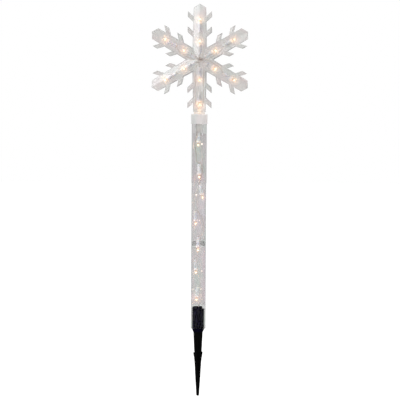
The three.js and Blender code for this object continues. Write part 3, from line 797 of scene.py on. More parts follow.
def curve_points(points, per=10):
    """Centripetal Catmull-Rom through the points, in millimetres."""
    p = [Vector(q) for q in points]
    if len(p) == 2:
        return [p[0].lerp(p[1], i / per) for i in range(per + 1)]
    p = [p[0] * 2 - p[1]] + p + [p[-1] * 2 - p[-2]]
    out = []
    for i in range(1, len(p) - 2):
        p0, p1, p2, p3 = p[i - 1 : i + 3]
        d0 = max((p1 - p0).length ** 0.5, 1e-4)
        d1 = max((p2 - p1).length ** 0.5, 1e-4)
        d2 = max((p3 - p2).length ** 0.5, 1e-4)
        t1 = ((p1 - p0) / d0 - (p2 - p0) / (d0 + d1) + (p2 - p1) / d1) * d1
        t2 = ((p2 - p1) / d1 - (p3 - p1) / (d1 + d2) + (p3 - p2) / d2) * d1
        last = i == len(p) - 3
        for k in range(per + (1 if last else 0)):
            t = k / per
            a = 2 * t**3 - 3 * t**2 + 1
            b = t**3 - 2 * t**2 + t
            c = -2 * t**3 + 3 * t**2
            d = t**3 - t**2
            out.append(p1 * a + t1 * b + p2 * c + t2 * d)
    return out


def sweep_data(path, radius, sides=10, base=0, cap=True):
    """A round tube along path (millimetres); radius is a number or a function of the share along it."""
    verts, faces, uvs = [], [], []
    n = len(path)
    tangents = []
    for i in range(n):
        t = path[min(i + 1, n - 1)] - path[max(i - 1, 0)]
        tangents.append(t.normalized())
    axis = Vector((1, 0, 0)) if abs(tangents[0].x) < 0.8 else Vector((0, 1, 0))
    normal = tangents[0].cross(axis).normalized()
    rows, length, lengths = [], 0.0, []
    for i in range(n):
        if i:
            normal = (normal - tangents[i] * normal.dot(tangents[i])).normalized()
            length += (path[i] - path[i - 1]).length
        lengths.append(length)
        side = tangents[i].cross(normal)
        r = radius(i / (n - 1)) if callable(radius) else radius
        row = []
        for j in range(sides):
            a = 2 * math.pi * j / sides
            row.append(base + len(verts))
            verts.append((path[i] + (normal * math.cos(a) + side * math.sin(a)) * r) * MM)
        rows.append(row)
    for i in range(n - 1):
        a, b = rows[i], rows[i + 1]
        for j in range(sides):
            k = (j + 1) % sides
            faces.append((a[j], a[k], b[k], b[j]))
            u0, u1 = j / sides, (j + 1) / sides
            v0, v1 = lengths[i] / 5, lengths[i + 1] / 5
            uvs.append(((u0, v0), (u1, v0), (u1, v1), (u0, v1)))
    if cap:
        for row, v in ((rows[0], 0.0), (rows[-1], lengths[-1] / 5)):
            faces.append(tuple(row))
            uvs.append(tuple((0.5, v) for _ in row))
    return verts, faces, uvs


def sweeps(name, paths, mats, sides=10, sharp=50):
    """One object from several tubes: each path is (points, radius, material index)."""
    V, F, U, K = [], [], [], []
    for pts, r, mi in paths:
        v, f, u = sweep_data(pts, r, sides, len(V))
        V += v
        F += f
        U += u
        K += [mi] * len(f)
    return make(name, V, F, mats, U, K, sharp)


def joined(name, parts, mats, sharp=35):
    """One object from raw (verts, faces, uvs, material index) parts."""
    V, F, U, K = [], [], [], []
    for v, f, u, mi in parts:
        n = len(V)
        V += list(v)
        F += [tuple(i + n for i in face) for face in f]
        U += u
        K += [mi] * len(f)
    return make(name, V, F, mats, U, K, sharp)


def block(name, x0, x1, y0, y1, z0, z1):
    v = [(x * MM, y * MM, z * MM) for z in (z0, z1) for y in (y0, y1) for x in (x0, x1)]
    f = [(0, 2, 3, 1), (4, 5, 7, 6), (0, 1, 5, 4), (2, 6, 7, 3), (0, 4, 6, 2), (1, 3, 7, 5)]
    return make(name, v, f, [])


def boolean(ob, other, op):
    mod = ob.modifiers.new("cut", "BOOLEAN")
    mod.operation = op
    mod.solver = "EXACT"
    mod.object = other
    apply(ob)
    bpy.data.objects.remove(other)


def apply(ob):
    dg = bpy.context.evaluated_depsgraph_get()
    dg.update()
    me = bpy.data.meshes.new_from_object(ob.evaluated_get(dg))
    old = ob.data
    ob.modifiers.clear()
    ob.data = me
    me.name = ob.name
    bpy.data.meshes.remove(old)


def bevelled(ob, width, segments=2, angle=30, sharp=40):
    mod = ob.modifiers.new("edge", "BEVEL")
    mod.width = width * MM
    mod.segments = segments
    mod.limit_method = "ANGLE"
    mod.angle_limit = math.radians(angle)
    mod.use_clamp_overlap = True
    mod.harden_normals = False
    apply(ob)
    finish_mesh(ob.data, sharp)
    return ob


def settle(ob, body, slot, *nodes):
    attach(ob, body)
    if nodes:
        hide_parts(*nodes)
    return ob


def repaint(node, mat):
    ob = NODES[node]
    ob.data.materials.clear()
    ob.data.materials.append(mat)


# ------------------------------------------------------------------ snowflake
repaint("snowflake_front", FLAKE)
repaint("snowflake_rear", FLAKE)


def arm(k, a, l, y):
    t = math.radians(90 - 60 * k)
    return (a * math.cos(t) - l * math.sin(t), y, FLAKE_Z + a * math.sin(t) + l * math.cos(t))


# ------------------------------------------------------------------ stem
STEM_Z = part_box("stem")[0].z / MM
sheen_rows = set()
stem_profile = rounded(
    [
        (6.6, STEM_Z, 0.2),
        (7.0, STEM_Z + 0.5, 0.2),
        (7.0, 424.3, 0.5),
        (10.0, 424.3, 0.4),
        (10.0, 434.6, 0.6),
        (3.1, 434.6, 0.5),
        (3.1, 440.0, 0.3),
        (2.1, 440.0, 0.3),
        (2.1, 431.6, 0.5),
        (5.6, 428.6, 1.0),
        (5.6, STEM_Z, 0.3),
    ],
    0.3,
)
SEG = 96


# faces on the stem's left and right sides below the collar get the painted highlight material
def stem_pick(i, j):
    a = 360 * (j + 0.5) / SEG
    r, z = stem_profile[i]
    off = min(a % 180, 180 - a % 180)
    return 1 if off < 37 and r > 6.5 and z < 424.2 else 0


stem = turned("stem_moulded", stem_profile, [STEM, STEM_SHEEN], SEG, ring=True, pick=stem_pick)
settle(stem, "head", "clear_flake", "stem")

# ------------------------------------------------------------------ pole tube, cap, bushing, sleeve
lo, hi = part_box("tube")
T0, T1, TR = lo.z / MM, hi.z / MM, hi.x / MM
tube = turned(
    "tube_drawn",
    rounded([(12.45, T0, 0.35), (TR, T0, 0.5), (TR, T1, 0.4), (12.45, T1, 0.35)], 0.4),
    [TUBE],
    128,
    ring=True,
)
settle(tube, "pole", "clear_tube", "tube")

lo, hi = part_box("cap")
C0, C1, CR = lo.z / MM, hi.z / MM, hi.x / MM
cap = turned(
    "cap_moulded",
    rounded(
        [
            (CR - 0.25, C0, 0.3),
            (CR, C0 + 0.6, 0.2),
            (CR, C0 + 1.7, 0.1),
            (CR - 0.18, C0 + 1.95, 0.1),
            (CR - 0.12, C1 - 2.0, 0.1),
            (CR, C1 - 1.7, 0.1),
            (CR, C1 - 0.6, 0.4),
            (CR - 0.8, C1, 0.4),
            (11.2, C1, 0.2),
            (10.9, C1 - 0.35, 0.1),
            (10.3, C1 - 0.35, 0.2),
            (10.3, T1 + 0.5, 0.2),
            (TR + 0.3, T1 + 0.5, 0.2),
            (TR + 0.3, C0, 0.2),
        ],
        0.2,
    ),
    [CAP],
    128,
    ring=True,
)
settle(cap, "pole", "frosted_cap", "cap")
repaint("stem_bushing", CAP)

lo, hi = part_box("plug_sleeve")
sleeve = turned(
    "plug_sleeve_drawn",
    rounded([(11.0, lo.z / MM, 0.25), (12.3, lo.z / MM, 0.25), (12.3, hi.z / MM, 0.25), (11.0, hi.z / MM, 0.25)], 0.25),
    [SLEEVE],
    96,
    ring=True,
)
settle(sleeve, "pole", "clear_tube", "plug_sleeve")


# ------------------------------------------------------------------ crinkled film and dark liner
def crinkled(name, z0, z1, a0, a1, radius, amp, mats, cols, rows, seed, ragged=0.0, thick=0.12, lengthwise=0.18):
    verts, faces = [], []
    for i in range(rows + 1):
        for j in range(cols + 1):
            u, v = j / cols, i / rows
            a = math.radians(a0 + (a1 - a0) * u)
            z = z0 + (z1 - z0) * v
            if ragged and i in (0, rows):
                z += ragged * noise.noise(Vector((u * 19, seed, i)))
            s = u * (a1 - a0) / 360 * 2 * math.pi * radius
            f1 = noise.noise(Vector((s * 0.55, z * lengthwise * 0.3, seed)))
            f2 = 1 - 2 * abs(noise.noise(Vector((s * 0.9, z * lengthwise, seed + 7))))
            f3 = noise.noise(Vector((s * 2.1, z * 0.5, seed + 13)))
            r = radius + amp * (0.6 * f1 + 0.55 * (f2 - 0.6) + 0.25 * f3)
            verts.append((r * MM * math.cos(a), r * MM * math.sin(a), z * MM))
    for i in range(rows):
        for j in range(cols):
            p = i * (cols + 1) + j
            faces.append((p, p + 1, p + cols + 2, p + cols + 1))
    ob = make(name, verts, faces, mats, None, None, 180)
    mod = ob.modifiers.new("gauge", "SOLIDIFY")
    mod.thickness = thick * MM
    mod.offset = 0
    apply(ob)
    finish_mesh(ob.data, 60)
    return ob


for node, seed in (("film_upper", 1.3), ("film_lower", 5.1)):
    lo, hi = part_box(node)
    rows = int((hi.z - lo.z) / MM / 1.6)
    ob = crinkled(node + "_crinkled", lo.z / MM, hi.z / MM, -28, 208, 11.62, 0.42, [FILM], 110, rows, seed)
    settle(ob, "pole", "film", node)
lo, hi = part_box("liner_clip")
ob = crinkled("liner_crumpled", lo.z / MM + 0.7, hi.z / MM - 0.7, -34, 214, 11.55, 0.38, [LINER], 130, 14, 9.7, ragged=1.2, thick=0.3, lengthwise=0.5)
settle(ob, "pole", "plug_black", "liner_clip")

# ------------------------------------------------------------------ mini lamps
holder_profile = rounded(
    [
        (0, 0.35),
        (1.6, 0.35, 0.2),
        (1.9, 0, 0.1),
        (2.7, 0, 0.3),
        (3.12, 0.5, 0.2),
        (3.12, 1.6, 0.1),
        (2.8, 1.8, 0.08),
        (2.8, 2.5, 0.08),
        (3.12, 2.7, 0.1),
        (3.12, 3.8, 0.1),
        (2.8, 4.0, 0.08),
        (2.8, 4.7, 0.08),
        (3.12, 4.9, 0.1),
        (3.14, 10.8, 1.5),
        (3.65, 13.9, 1.2),
        (4.08, 15.0, 0.4),
        (4.1, 18.3, 0.3),
        (3.85, 18.98, 0.2),
        (3.3, 19.0, 0.3),
        (2.93, 18.4, 0.2),
        (2.87, 10.6, 0.1),
        (0, 10.6),
    ],
    0.2,
    2,
    closed=False,
)
HOLDER_PART = turned_data(holder_profile, 28, False)[:3] + (0,)


def fin_part():
    """Two moulded ribs along the holder's grip."""
    V, F, U = [], [], []
    for side in (1, -1):
        x0, x1 = side * 2.9, side * 3.45
        base = len(V)
        for z, x in ((5.2, x0), (5.2, x0), (6.0, x1), (12.6, x1 + side * 0.12), (14.6, side * 3.9)):
            for y in (-0.45, 0.45):
                V.append((x * MM, y * MM, z * MM))
        inner = len(V)
        for z, x in ((5.2, x0 - side * 0.3), (5.2, x0 - side * 0.3), (6.0, x0 - side * 0.2), (12.6, x0 + side * 0.3), (14.6, side * 3.6)):
            for y in (-0.45, 0.45):
                V.append((x * MM, y * MM, z * MM))
        for i in (1, 2, 3):
            a, b = base + i * 2, inner + i * 2
            F += [(a, a + 1, a + 3, a + 2), (b, b + 2, b + 3, b + 1), (a, a + 2, b + 2, b), (a + 1, b + 1, b + 3, a + 3)]
        a, b = base + 2, inner + 2
        F += [(a, b, b + 1, a + 1)]
        a, b = base + 8, inner + 8
        F += [(a, a + 1, b + 1, b)]
    used = sorted({i for f in F for i in f})
    order = {i: n for n, i in enumerate(used)}
    V = [V[i] for i in used]
    F = [tuple(order[i] for i in f) for f in F]
    U = [tuple((0.1, 0.1) for _ in f) for f in F]
    return V, F, U, 0


bulb_outer = rounded(
    [
        (0, 11.2),
        (1.8, 11.2, 0.3),
        (2.5, 13.6, 1.0),
        (2.55, 19.0, 1.0),
        (2.55, 22.4, 2.2),
        (1.9, 25.6, 1.4),
        (0.85, 26.75, 0.4),
        (0.5, 27.3, 0.2),
        (0, 27.4),
    ],
    0.3,
    4,
    closed=False,
)
bulb_inner = rounded(
    [
        (0, 13.4),
        (1.5, 13.8, 0.5),
        (2.18, 15.4, 0.8),
        (2.2, 22.2, 2.0),
        (1.6, 25.1, 1.2),
        (0.5, 26.2, 0.4),
        (0, 26.4),
    ],
    0.3,
    3,
    closed=False,
)


def coil(turns, x0, x1, r, mid, sag, n=90):
    pts = []
    for i in range(n + 1):
        t = i / n
        a = 2 * math.pi * turns * t
        pts.append(
            Vector((x0 + (x1 - x0) * t, r * math.cos(a), mid + sag * math.sin(math.pi * t) + r * math.sin(a)))
        )
    return pts


def lamp_meshes():
    holder = joined("lamp_holder_mesh", [HOLDER_PART, fin_part()], [HOLDER], 32)
    outer = turned_data(bulb_outer, 24, False)[:3] + (0,)
    inner = turned_data(bulb_inner, 24, False)[:3] + (0,)
    glass = joined("bulb_glass_mesh", [outer, inner], [BULB], 60)
    # the cavity's faces look inward
    bm = bmesh.new()
    bm.from_mesh(glass.data)
    bm.faces.ensure_lookup_table()
    n = len(outer[1])
    bmesh.ops.reverse_faces(bm, faces=[f for f in bm.faces if f.index >= n])
    bm.to_mesh(glass.data)
    bm.free()
    leads = []
    for s in (-1, 1):
        leads.append(
            (
                curve_points([(s * 0.55, 0, 11.6), (s * 0.6, 0, 16), (s * 0.62, 0, 19.4), (s * 0.95, 0, 21.4), (s * 0.92, 0, 23.1)], 5),
                0.13,
                0,
            )
        )
    guts = sweeps("lamp_guts_mesh", leads + [(coil(7, -0.95, 0.95, 0.26, 23.15, 0.5), 0.12, 1)], [LEAD, FILAMENT], 6, 60)
    bead = turned_data([(0, 18.4), (0.55, 18.5), (0.95, 18.95), (1.05, 19.4), (0.95, 19.85), (0.55, 20.3), (0, 20.4)], 14, False)
    bead_ob = make("lamp_bead_mesh", bead[0], bead[1], [BULB], bead[2], None, 60)
    out = (holder.data, glass.data, guts.data, bead_ob.data)
    for o in (holder, glass, guts, bead_ob):
        bpy.data.objects.remove(o)
    return out


HOLDER_ME, GLASS_ME, GUTS_ME, BEAD_ME = lamp_meshes()


def put_lamp(tag, origin, direction, body, twist=0.0):
    q = Vector(direction).normalized().to_track_quat("Z", "Y")
    frame_m = Matrix.Translation(Vector(origin) * MM) @ q.to_matrix().to_4x4() @ Matrix.Rotation(twist, 4, "Z")
    made = []
    for prefix, me, slot, nodes in (
        ("socket_", HOLDER_ME, "lamp_holder", ["lamp_holder_" + tag]),
        ("glass_", GLASS_ME, "bulb_glass", ["bulb_" + tag]),
        ("filament_", GUTS_ME, "bulb_glass", []),
        ("bead_", BEAD_ME, "bulb_glass", []),
    ):
        ob = bpy.data.objects.new(prefix + tag, me)
        scene.collection.objects.link(ob)
        ob.matrix_world = frame_m
        settle(ob, body, slot, *nodes)
        made.append(ob)
    # the light that the lamp gives its surroundings
    ld = bpy.data.lights.new("lamp_light_" + tag, "POINT")
    ld.energy = 0.011
    ld.color = (1.0, 0.60, 0.30)
    ld.shadow_soft_size = 0.0
    lo_ = bpy.data.objects.new("lamp_light_" + tag, ld)
    scene.collection.objects.link(lo_)
    lo_.matrix_world = frame_m @ Matrix.Translation(Vector((0, 0, 23.5)) * MM)
    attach(lo_, body)
    return made


head_lamps = []
for k in range(6):
    head_lamps += [(k, 13.2 if k == 3 else 9.8), (k, 57.6 if k == 3 else 49.4)]
for i, (k, r) in enumerate(head_lamps):
    t = math.radians(90 - 60 * k)
    put_lamp(f"head_{i + 1:02d}", arm(k, r, 0, 0), (math.cos(t), 0, math.sin(t)), "head", twist=0.6 + i * 1.9)

W = []
for i, (x, y, z, lx, ly) in enumerate(pole_lamps):
    d = Vector((lx, ly, -1)).normalized()
    o = Vector((x, y, z)) - d * 23.5
    W.append(o - d * 0.3)
    put_lamp(f"pole_{i + 1}", o, d, "pole", twist=0.4 + i * 1.3)

# ------------------------------------------------------------------ wiring
WR = 0.55


def wire(points, mat=0, r=WR, per=9):
    return (curve_points(points, per), r, mat)


head_paths = []
for k in range(6):
    r_in, r_out = (13.2, 57.6) if k == 3 else (9.8, 49.4)
    bow = [1.2, -1.6, 0.8, -1, 1.5, -0.9][k]
    head_paths.append(wire([arm(k, 0, 0, 0), arm(k, r_in * 0.5, bow, -1.2), arm(k, r_in - 0.3, 0, 0)], 1))
    for side in (-1, 1):
        d = side * 1.6
        head_paths.append(
            wire(
                [
                    arm(k, 0.5, 0, 0),
                    arm(k, 6, side * 3.2, d * 1.6),
                    arm(k, 12, side * 6.2, d),
                    arm(k, 24, side * 6.9, d * 0.4),
                    arm(k, 38, side * (6.2 + bow * 0.3), -d * 0.4),
                    arm(k, r_out - 5, side * 3.6, 0),
                    arm(k, r_out - 0.3, side * 0.6, 0),
                ],
                0 if (k + side) % 3 else 1,
                per=7,
            )
        )
# the supply pair runs down the lower arm to the tenon, and on through the swivel
for side in (-1, 1):
    head_paths.append(
        wire(
            [
                arm(3, 1, 0, 0),
                arm(3, 8, side * 4.2, 3.4),
                arm(3, 20, side * 7.4, 2.6),
                arm(3, 50, side * 7.0, 1.2),
                arm(3, 76, side * 6.6, 0.3),
                arm(3, 84, side * 4.6, 0),
                (-side * 0.95, 0, 440.5),
            ],
            1,
            per=7,
        )
    )
# turns of wire and the shrink sleeves on the splices at the middle
for n, (a, tilt, rr) in enumerate(((0.3, 0.2, 3.6), (1.4, -0.5, 4.3), (2.5, 0.7, 3.1))):
    ring = []
    for i in range(22):
        t = a + 2 * math.pi * 0.8 * i / 21
        x, z = rr * math.cos(t), rr * math.sin(t) * math.cos(tilt)
        ring.append((x, -3.4 + rr * math.sin(t) * math.sin(tilt) * 0.8, FLAKE_Z + z))
    head_paths.append((curve_points(ring, 2), 0.45, 0 if n != 1 else 1))
wires_head = sweeps("wiring_head", head_paths, [WIRE, WIRE_DARK], 8)
settle(wires_head, "head", "wire", "wires_head")
sleeves = []
for n, (a, off) in enumerate(((12, (3.2, -2.4, 1.6)), (74, (-2.2, -3.2, -2.4)), (141, (0.6, -4.2, 3.0)))):
    t = math.radians(a)
    c = Vector((off[0], off[1], FLAKE_Z + off[2]))
    d = Vector((math.cos(t), 0.15, math.sin(t)))
    pts = [c + d * s for s in (-4.2, -3.9, -3.2, -1.5, 0, 1.5, 3.2, 3.9, 4.2)]
    sleeves.append((pts, (lambda u: 0.5 + 0.22 * min(1, 6 * u, 6 * (1 - u)) ** 0.5), 0))
splices = sweeps("splice_sleeves", sleeves, [SPLICE], 14)
settle(splices, "head", "wire")

# the pair that runs through the swivel
pair = []
for side in (-1, 1):
    pair.append(
        wire(
            [
                (-side * 0.95, 0, 440.3),
                (-side * 0.95, 0, 431),
                (-side * 1.3, 0, 416),
                (-side * 1.1, 0, 403.2),
                (1.2 if side == -1 else -1.0, 0 if side == -1 else 2.6 * 0.4, 400.8 if side == -1 else 402.4),
            ],
            0,
            0.42,
            per=12,
        )
    )
swivel = sweeps("wiring_swivel", pair, [WIRE, WIRE_DARK], 10)
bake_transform(swivel)


def off(p, x, y, z):
    return (p[0] + x, p[1] + y, p[2] + z)


CH = 7.9
pole_paths = [
    wire([(1.2, 0, 402.8), off(W[0], 0.6, 0, 2.2), off(W[0], 0, 0, 0)], 0),
    wire([off(W[0], 0, 0, 0.6), off(W[0], -2.6, 0, 2.2), (-4.2, -0.3, 398.6), (-4.5, -0.6, 392), (-6.4, -0.8, 384), (-6.9, -0.8, 372), (-5.2, -0.8, 358), (-4.6, -0.6, 346), off(W[1], -1.2, 0, 3.4), W[1]], 1),
    wire([off(W[1], 0, 0, 0.5), off(W[1], 2, 2.4, 3.4), (5.4, 3.6, 336), (5.2, 5.4, 326), (2.6, 5.2, 314), (0.4, 2.4, 308.6), (1.2, -0.4, 306.2), W[2]], 1),
    wire([off(W[2], 0, 0, 0.4), off(W[2], -1.8, -0.8, 1.8), (-3, -2.2, 298), (-5, -2, 291), (-6.6, -1.4, 286), (-8.6, -0.6, 276), (-8.8, -0.6, 264), off(W[3], -0.9, 0, 4), W[3]], 0),
    wire([off(W[3], 0, 0, 0.3), off(W[3], 2.6, -0.6, 1.6), (1.6, -2.2, 251), (5.4, -2.4, 247.6), (7.8, -1.8, 238), (8.4, -1, 226), (8, -1, 216), (4.6, -2.2, 211.8), off(W[4], 0.6, 0, 2.4), W[4]], 1),
    wire([off(W[4], 0, 0, 0.3), off(W[4], -2.6, 2.4, 1.8), (-4.8, 3.8, 200), (-4.6, 5.2, 186), (-1.6, 4.4, 176), (-0.6, 1.2, 171.6), (-2.6, -0.4, 169.8), off(W[5], 0.6, 0, 1.6), W[5]], 0),
    wire([off(W[5], 0, 0, 0.3), off(W[5], 2.4, -0.8, 1.4), (0.8, -2, 164.6), (3.9, -2, 158), (5, -1.6, 144), (4.8, -1.4, 130), (3, -1.4, 121.6), off(W[6], 0.4, 0, 1.6), W[6]], 0),
    wire([off(W[6], 0, 0, 0.3), off(W[6], 2.4, 1.2, 1.6), (5.6, 3.2, 112), (6, 3.6, 100), (3.4, 5.6, 90), (0.6, 7.6, 84.6), (0.6, CH, 76), (0.4, CH, 55)], 0),
    wire([(-1, 2.6 * 0.4, 402.8), (-1.4, 4, 400.6), (-1.4, 4.3, 396), (-1.4, 4.5, 391.8), (-0.4, 6.2, 384), (2.4, 7.6, 370), (4.8, 7, 345), (1.6, 8, 318), (-3.6, 7.4, 296), (-4.4, 7.2, 270), (0.4, 8.2, 246), (4.6, 7.2, 224), (2.4, 7.8, 200), (-2.8, 7.8, 176), (-3.6, 7.6, 150), (1.4, 8.2, 124), (1.6, 8, 100), (-0.5, CH, 86), (-0.5, CH, 76), (-0.3, CH, 55)], 0),
]
wires_pole = sweeps("wiring_pole", pole_paths, [WIRE, WIRE_DARK], 8)
settle(wires_pole, "pole", "wire", "wires_pole")

# ------------------------------------------------------------------ base plug and gland
lo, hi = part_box("base_plug")
B0, B1 = lo.z / MM, hi.z / MM
PR = 10.75
plug = turned(
    "base_plug_moulded",
    rounded(
        [
            (0, B0),
            (9.3, B0, 0.25),
            (9.9, 38.4, 0.8),
            (11.35, 42.0, 0.3),
            (11.35, 42.6, 0.15),
            (PR, 42.6, 0.2),
            (PR, 60.0, 0.1),
            (PR - 0.16, 60.3, 0.1),
            (PR - 0.16, 61.3, 0.1),
            (PR, 61.6, 0.1),
            (PR, B1 - 0.7, 0.4),
            (PR - 0.7, B1, 0.4),
            (8.6, B1, 0.3),
            (8.2, B1 - 1.4, 0.3),
            (0, B1 - 1.4),
        ],
        0.2,
        3,
        closed=False,
    ),
    [PLUG],
    96,
)
hole = turned("t1", [(0, 30), (5.3, 30), (5.3, 66.2), (0, 66.2)], [PLUG], 48)
boolean(hole, block("t2", -4.4, 4.4, -12, 12, 20, 80), "INTERSECT")
boolean(plug, hole, "DIFFERENCE")
chan = turned("t3", [(0, 39.3), (1.7, 39.3), (1.7, 90), (0, 90)], [PLUG], 24)
chan.location = (0, CH * MM, 0)
boolean(plug, chan, "DIFFERENCE")
boolean(plug, block("t4", 6.5, 20, -20, 20, B1 - 3.7, 90), "DIFFERENCE")
gh = turned("t5", [(0, -4), (1.9, -4), (1.9, 4), (0, 4)], [PLUG], 24)
gh.matrix_world = Matrix.Translation((0, (CH + 4) * MM, 39.3 * MM)) @ Matrix.Rotation(math.pi / 2, 4, "X")
boolean(plug, gh, "DIFFERENCE")
bevelled(plug, 0.22, 2, 40, 40)
plug.data.materials.clear()
plug.data.materials.append(PLUG)
settle(plug, "pole", "plug_black", "base_plug")

lo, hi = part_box("cord_gland")
gland = turned(
    "cord_gland_moulded",
    rounded(
        [
            (0.9, 9.9, 0.1),
            (1.6, 9.9, 0.15),
            (1.6, 10.5, 0.1),
            (1.45, 10.8, 0.1),
            (1.6, 11.1, 0.1),
            (1.6, 11.7, 0.1),
            (2.6, 11.7, 0.2),
            (2.6, 12.4, 0.3),
            (2.15, 12.9, 0.2),
            (1.2, 12.9, 0.15),
            (0.9, 12.6, 0.15),
        ],
        0.1,
    ),
    [RUBBER],
    40,
    ring=True,
)
gland.data.transform(Matrix.Rotation(-math.pi / 2, 4, "X"))
gland.data.transform(Matrix.Translation((0, 0, (lo.z + hi.z) / 2)))
settle(gland, "pole", "gland_rubber", "cord_gland")

# ------------------------------------------------------------------ ground spike
lo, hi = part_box("ground_spike")
S0, S1 = lo.z / MM, hi.z / MM


def section_loft(name, rows, turn):
    """A tapering blade: each row is (z, width to the right, width to the left, half thickness, corner radius)."""
    V, F = [], []
    steps = 4
    per = 4 * (steps + 1)
    for z, right_w, left_w, t, c in rows:
        c = min(c, right_w * 0.9, t * 0.9)
        for qx, qy, a0 in ((1, 1, 0), (-1, 1, 90), (-1, -1, 180), (1, -1, 270)):
            w = right_w if qx > 0 else left_w
            for k in range(steps + 1):
                a = math.radians(a0 + 90 * k / steps)
                V.append(((qx * (w - c) + c * math.cos(a)) * MM, (qy * (t - c) + c * math.sin(a)) * MM, z * MM))
    for i in range(len(rows) - 1):
        for j in range(per):
            k = (j + 1) % per
            F.append((i * per + j, i * per + k, (i + 1) * per + k, (i + 1) * per + j))
    F.append(tuple(range(per)))
    F.append(tuple((len(rows) - 1) * per + j for j in range(per)))
    ob = make(name, V, F, [BLACK])
    ob.data.transform(Matrix.Rotation(math.radians(turn), 4, "Z"))
    return ob


def interp(table, z):
    for (z0, a), (z1, b) in zip(table, table[1:]):
        if z1 <= z <= z0:
            return a + (b - a) * (z0 - z) / (z0 - z1)
    return table[-1][1] if z < table[-1][0] else table[0][1]


right_at = [(0, 8.6), (-0.4, 8.8), (-1.2, 8.8), (-3.1, 8.6), (-6.7, 8.1), (-8.5, 7.6), (-10.4, 7.1), (-14, 6.6), (-19.4, 6), (-28, 5.5), (-34, 5.15), (-43, 4.7), (-52, 4.2), (-61, 3.6), (-70, 3), (-75.7, 2.8), (-79, 2.65), (-81, 1.9)]
left_at = [(0, 5.0), (-1.7, 5.0), (-1.85, 8.5), (-2.2, 8.7)] + right_at[3:]
thick_at = [(0, 0.55), (-14, 1.9), (-40, 1.6), (-72, 1.15), (-81, 0.9)]
levels = [0, -0.15, -0.4, -1.2, -1.7, -1.85, -2.2, -3.1, -5, -6.7, -8.5, -10.4, -14, -19.4, -28, -34, -43, -52, -61, -70, -75.7, -78, -79, -80, -80.6, S0]


def blade(other):
    return [(z, interp(right_at, z), interp(other, z), interp(thick_at, z), 0.5) for z in levels]


core = turned(
    "ground_spike_moulded",
    rounded(
        [
            (0, -78),
            (1.2, -77, 0.4),
            (2.2, -26, 4),
            (3.4, -16, 4),
            (6.35, -0.6, 0.4),
            (6.85, 0.2, 0.3),
            (8.5, 35.5, 0.3),
            (8.1, 35.9, 0.2),
            (0, 35.9),
        ],
        0.3,
        3,
        closed=False,
    ),
    [BLACK],
    96,
)
boolean(core, section_loft("t6", blade(left_at), -7), "UNION")
boolean(core, section_loft("t7", blade(right_at), 83), "UNION")
spig = turned("t8", rounded([(0, 30), (5, 30, 0), (5, S1 - 1.2, 0.5), (3.8, S1, 0.4), (0, S1)], 0.3, 3, closed=False), [BLACK], 64)
boolean(spig, block("t9", -4.1, 4.1, -12, 12, 20, 80), "INTERSECT")
boolean(core, spig, "UNION")
bevelled(core, 0.25, 2, 42, 40)
core.data.materials.clear()
core.data.materials.append(BLACK)
settle(core, "spike", "spike_black", "ground_spike")

# ------------------------------------------------------------------ studio
def area(name, centre, az, el, distance, width, height, radiance, colour=(1, 1, 1)):
    a, e = math.radians(az), math.radians(el)
    d = Vector((math.sin(a) * math.cos(e), -math.cos(a) * math.cos(e), math.sin(e)))
    ld = bpy.data.lights.new(name, "AREA")
    ld.shape = "RECTANGLE"
    ld.size, ld.size_y = width, height
    ld.energy = radiance * math.pi * width * height
    ld.color = colour
    ob = bpy.data.objects.new(name, ld)
    scene.collection.objects.link(ob)
    ob.location = Vector(centre) + d * distance
    ob.rotation_mode = "QUATERNION"
    ob.rotation_quaternion = d.to_track_quat("Z", "Y")
    return ob


CENTRE = (0, 0, FLAKE_Z * MM)
area("softbox_key", CENTRE, -37, 13, 1.5, 0.78, 0.86, 2.4, (0.94, 0.97, 1.0))
area("softbox_top", (0, 0, 0.3), 20, 72, 1.7, 1.1, 1.1, 1.0)

world = bpy.data.worlds.new("studio")
scene.world = world
world.use_nodes = True
wt = world.node_tree
wt.nodes.clear()
wo = wt.nodes.new("ShaderNodeOutputWorld")
lp = wt.nodes.new("ShaderNodeLightPath")
seen = wt.nodes.new("ShaderNodeBackground")
seen.inputs["Color"].default_value = (1, 1, 1, 1)
seen.inputs["Strength"].default_value = 1.0
room = wt.nodes.new("ShaderNodeBackground")
tc = wt.nodes.new("ShaderNodeTexCoord")
sep = wt.nodes.new("ShaderNodeSeparateXYZ")
wt.links.new(tc.outputs["Generated"], sep.inputs[0])
rampz = wt.nodes.new("ShaderNodeMapRange")
rampz.inputs["From Min"].default_value = 0.05
rampz.inputs["From Max"].default_value = 0.9
rampz.inputs["To Min"].default_value = 0.0
rampz.inputs["To Max"].default_value = 0.28
wt.links.new(sep.outputs["Z"], rampz.inputs["Value"])
rampy = wt.nodes.new("ShaderNodeMapRange")
rampy.inputs["From Min"].default_value = -0.9
rampy.inputs["From Max"].default_value = 0.5
rampy.inputs["To Min"].default_value = 0.46
rampy.inputs["To Max"].default_value = 0.66
wt.links.new(sep.outputs["Y"], rampy.inputs["Value"])
add = wt.nodes.new("ShaderNodeMath")
add.operation = "ADD"
wt.links.new(rampz.outputs["Result"], add.inputs[0])
wt.links.new(rampy.outputs["Result"], add.inputs[1])
lift = wt.nodes.new("ShaderNodeMath")
lift.operation = "MULTIPLY_ADD"
lift.inputs[1].default_value = 0.30
lift.inputs[2].default_value = 1.0
wt.links.new(lp.outputs["Is Diffuse Ray"], lift.inputs[0])
lit = wt.nodes.new("ShaderNodeMath")
lit.operation = "MULTIPLY"
wt.links.new(add.outputs[0], lit.inputs[0])
wt.links.new(lift.outputs[0], lit.inputs[1])
wt.links.new(lit.outputs[0], room.inputs["Strength"])
room.inputs["Color"].default_value = (1, 0.995, 0.99, 1)
dark = wt.nodes.new("ShaderNodeBackground")
rampg = wt.nodes.new("ShaderNodeMapRange")
rampg.inputs["From Min"].default_value = -0.3
rampg.inputs["From Max"].default_value = 0.9
rampg.inputs["To Min"].default_value = 0.08
rampg.inputs["To Max"].default_value = 0.55
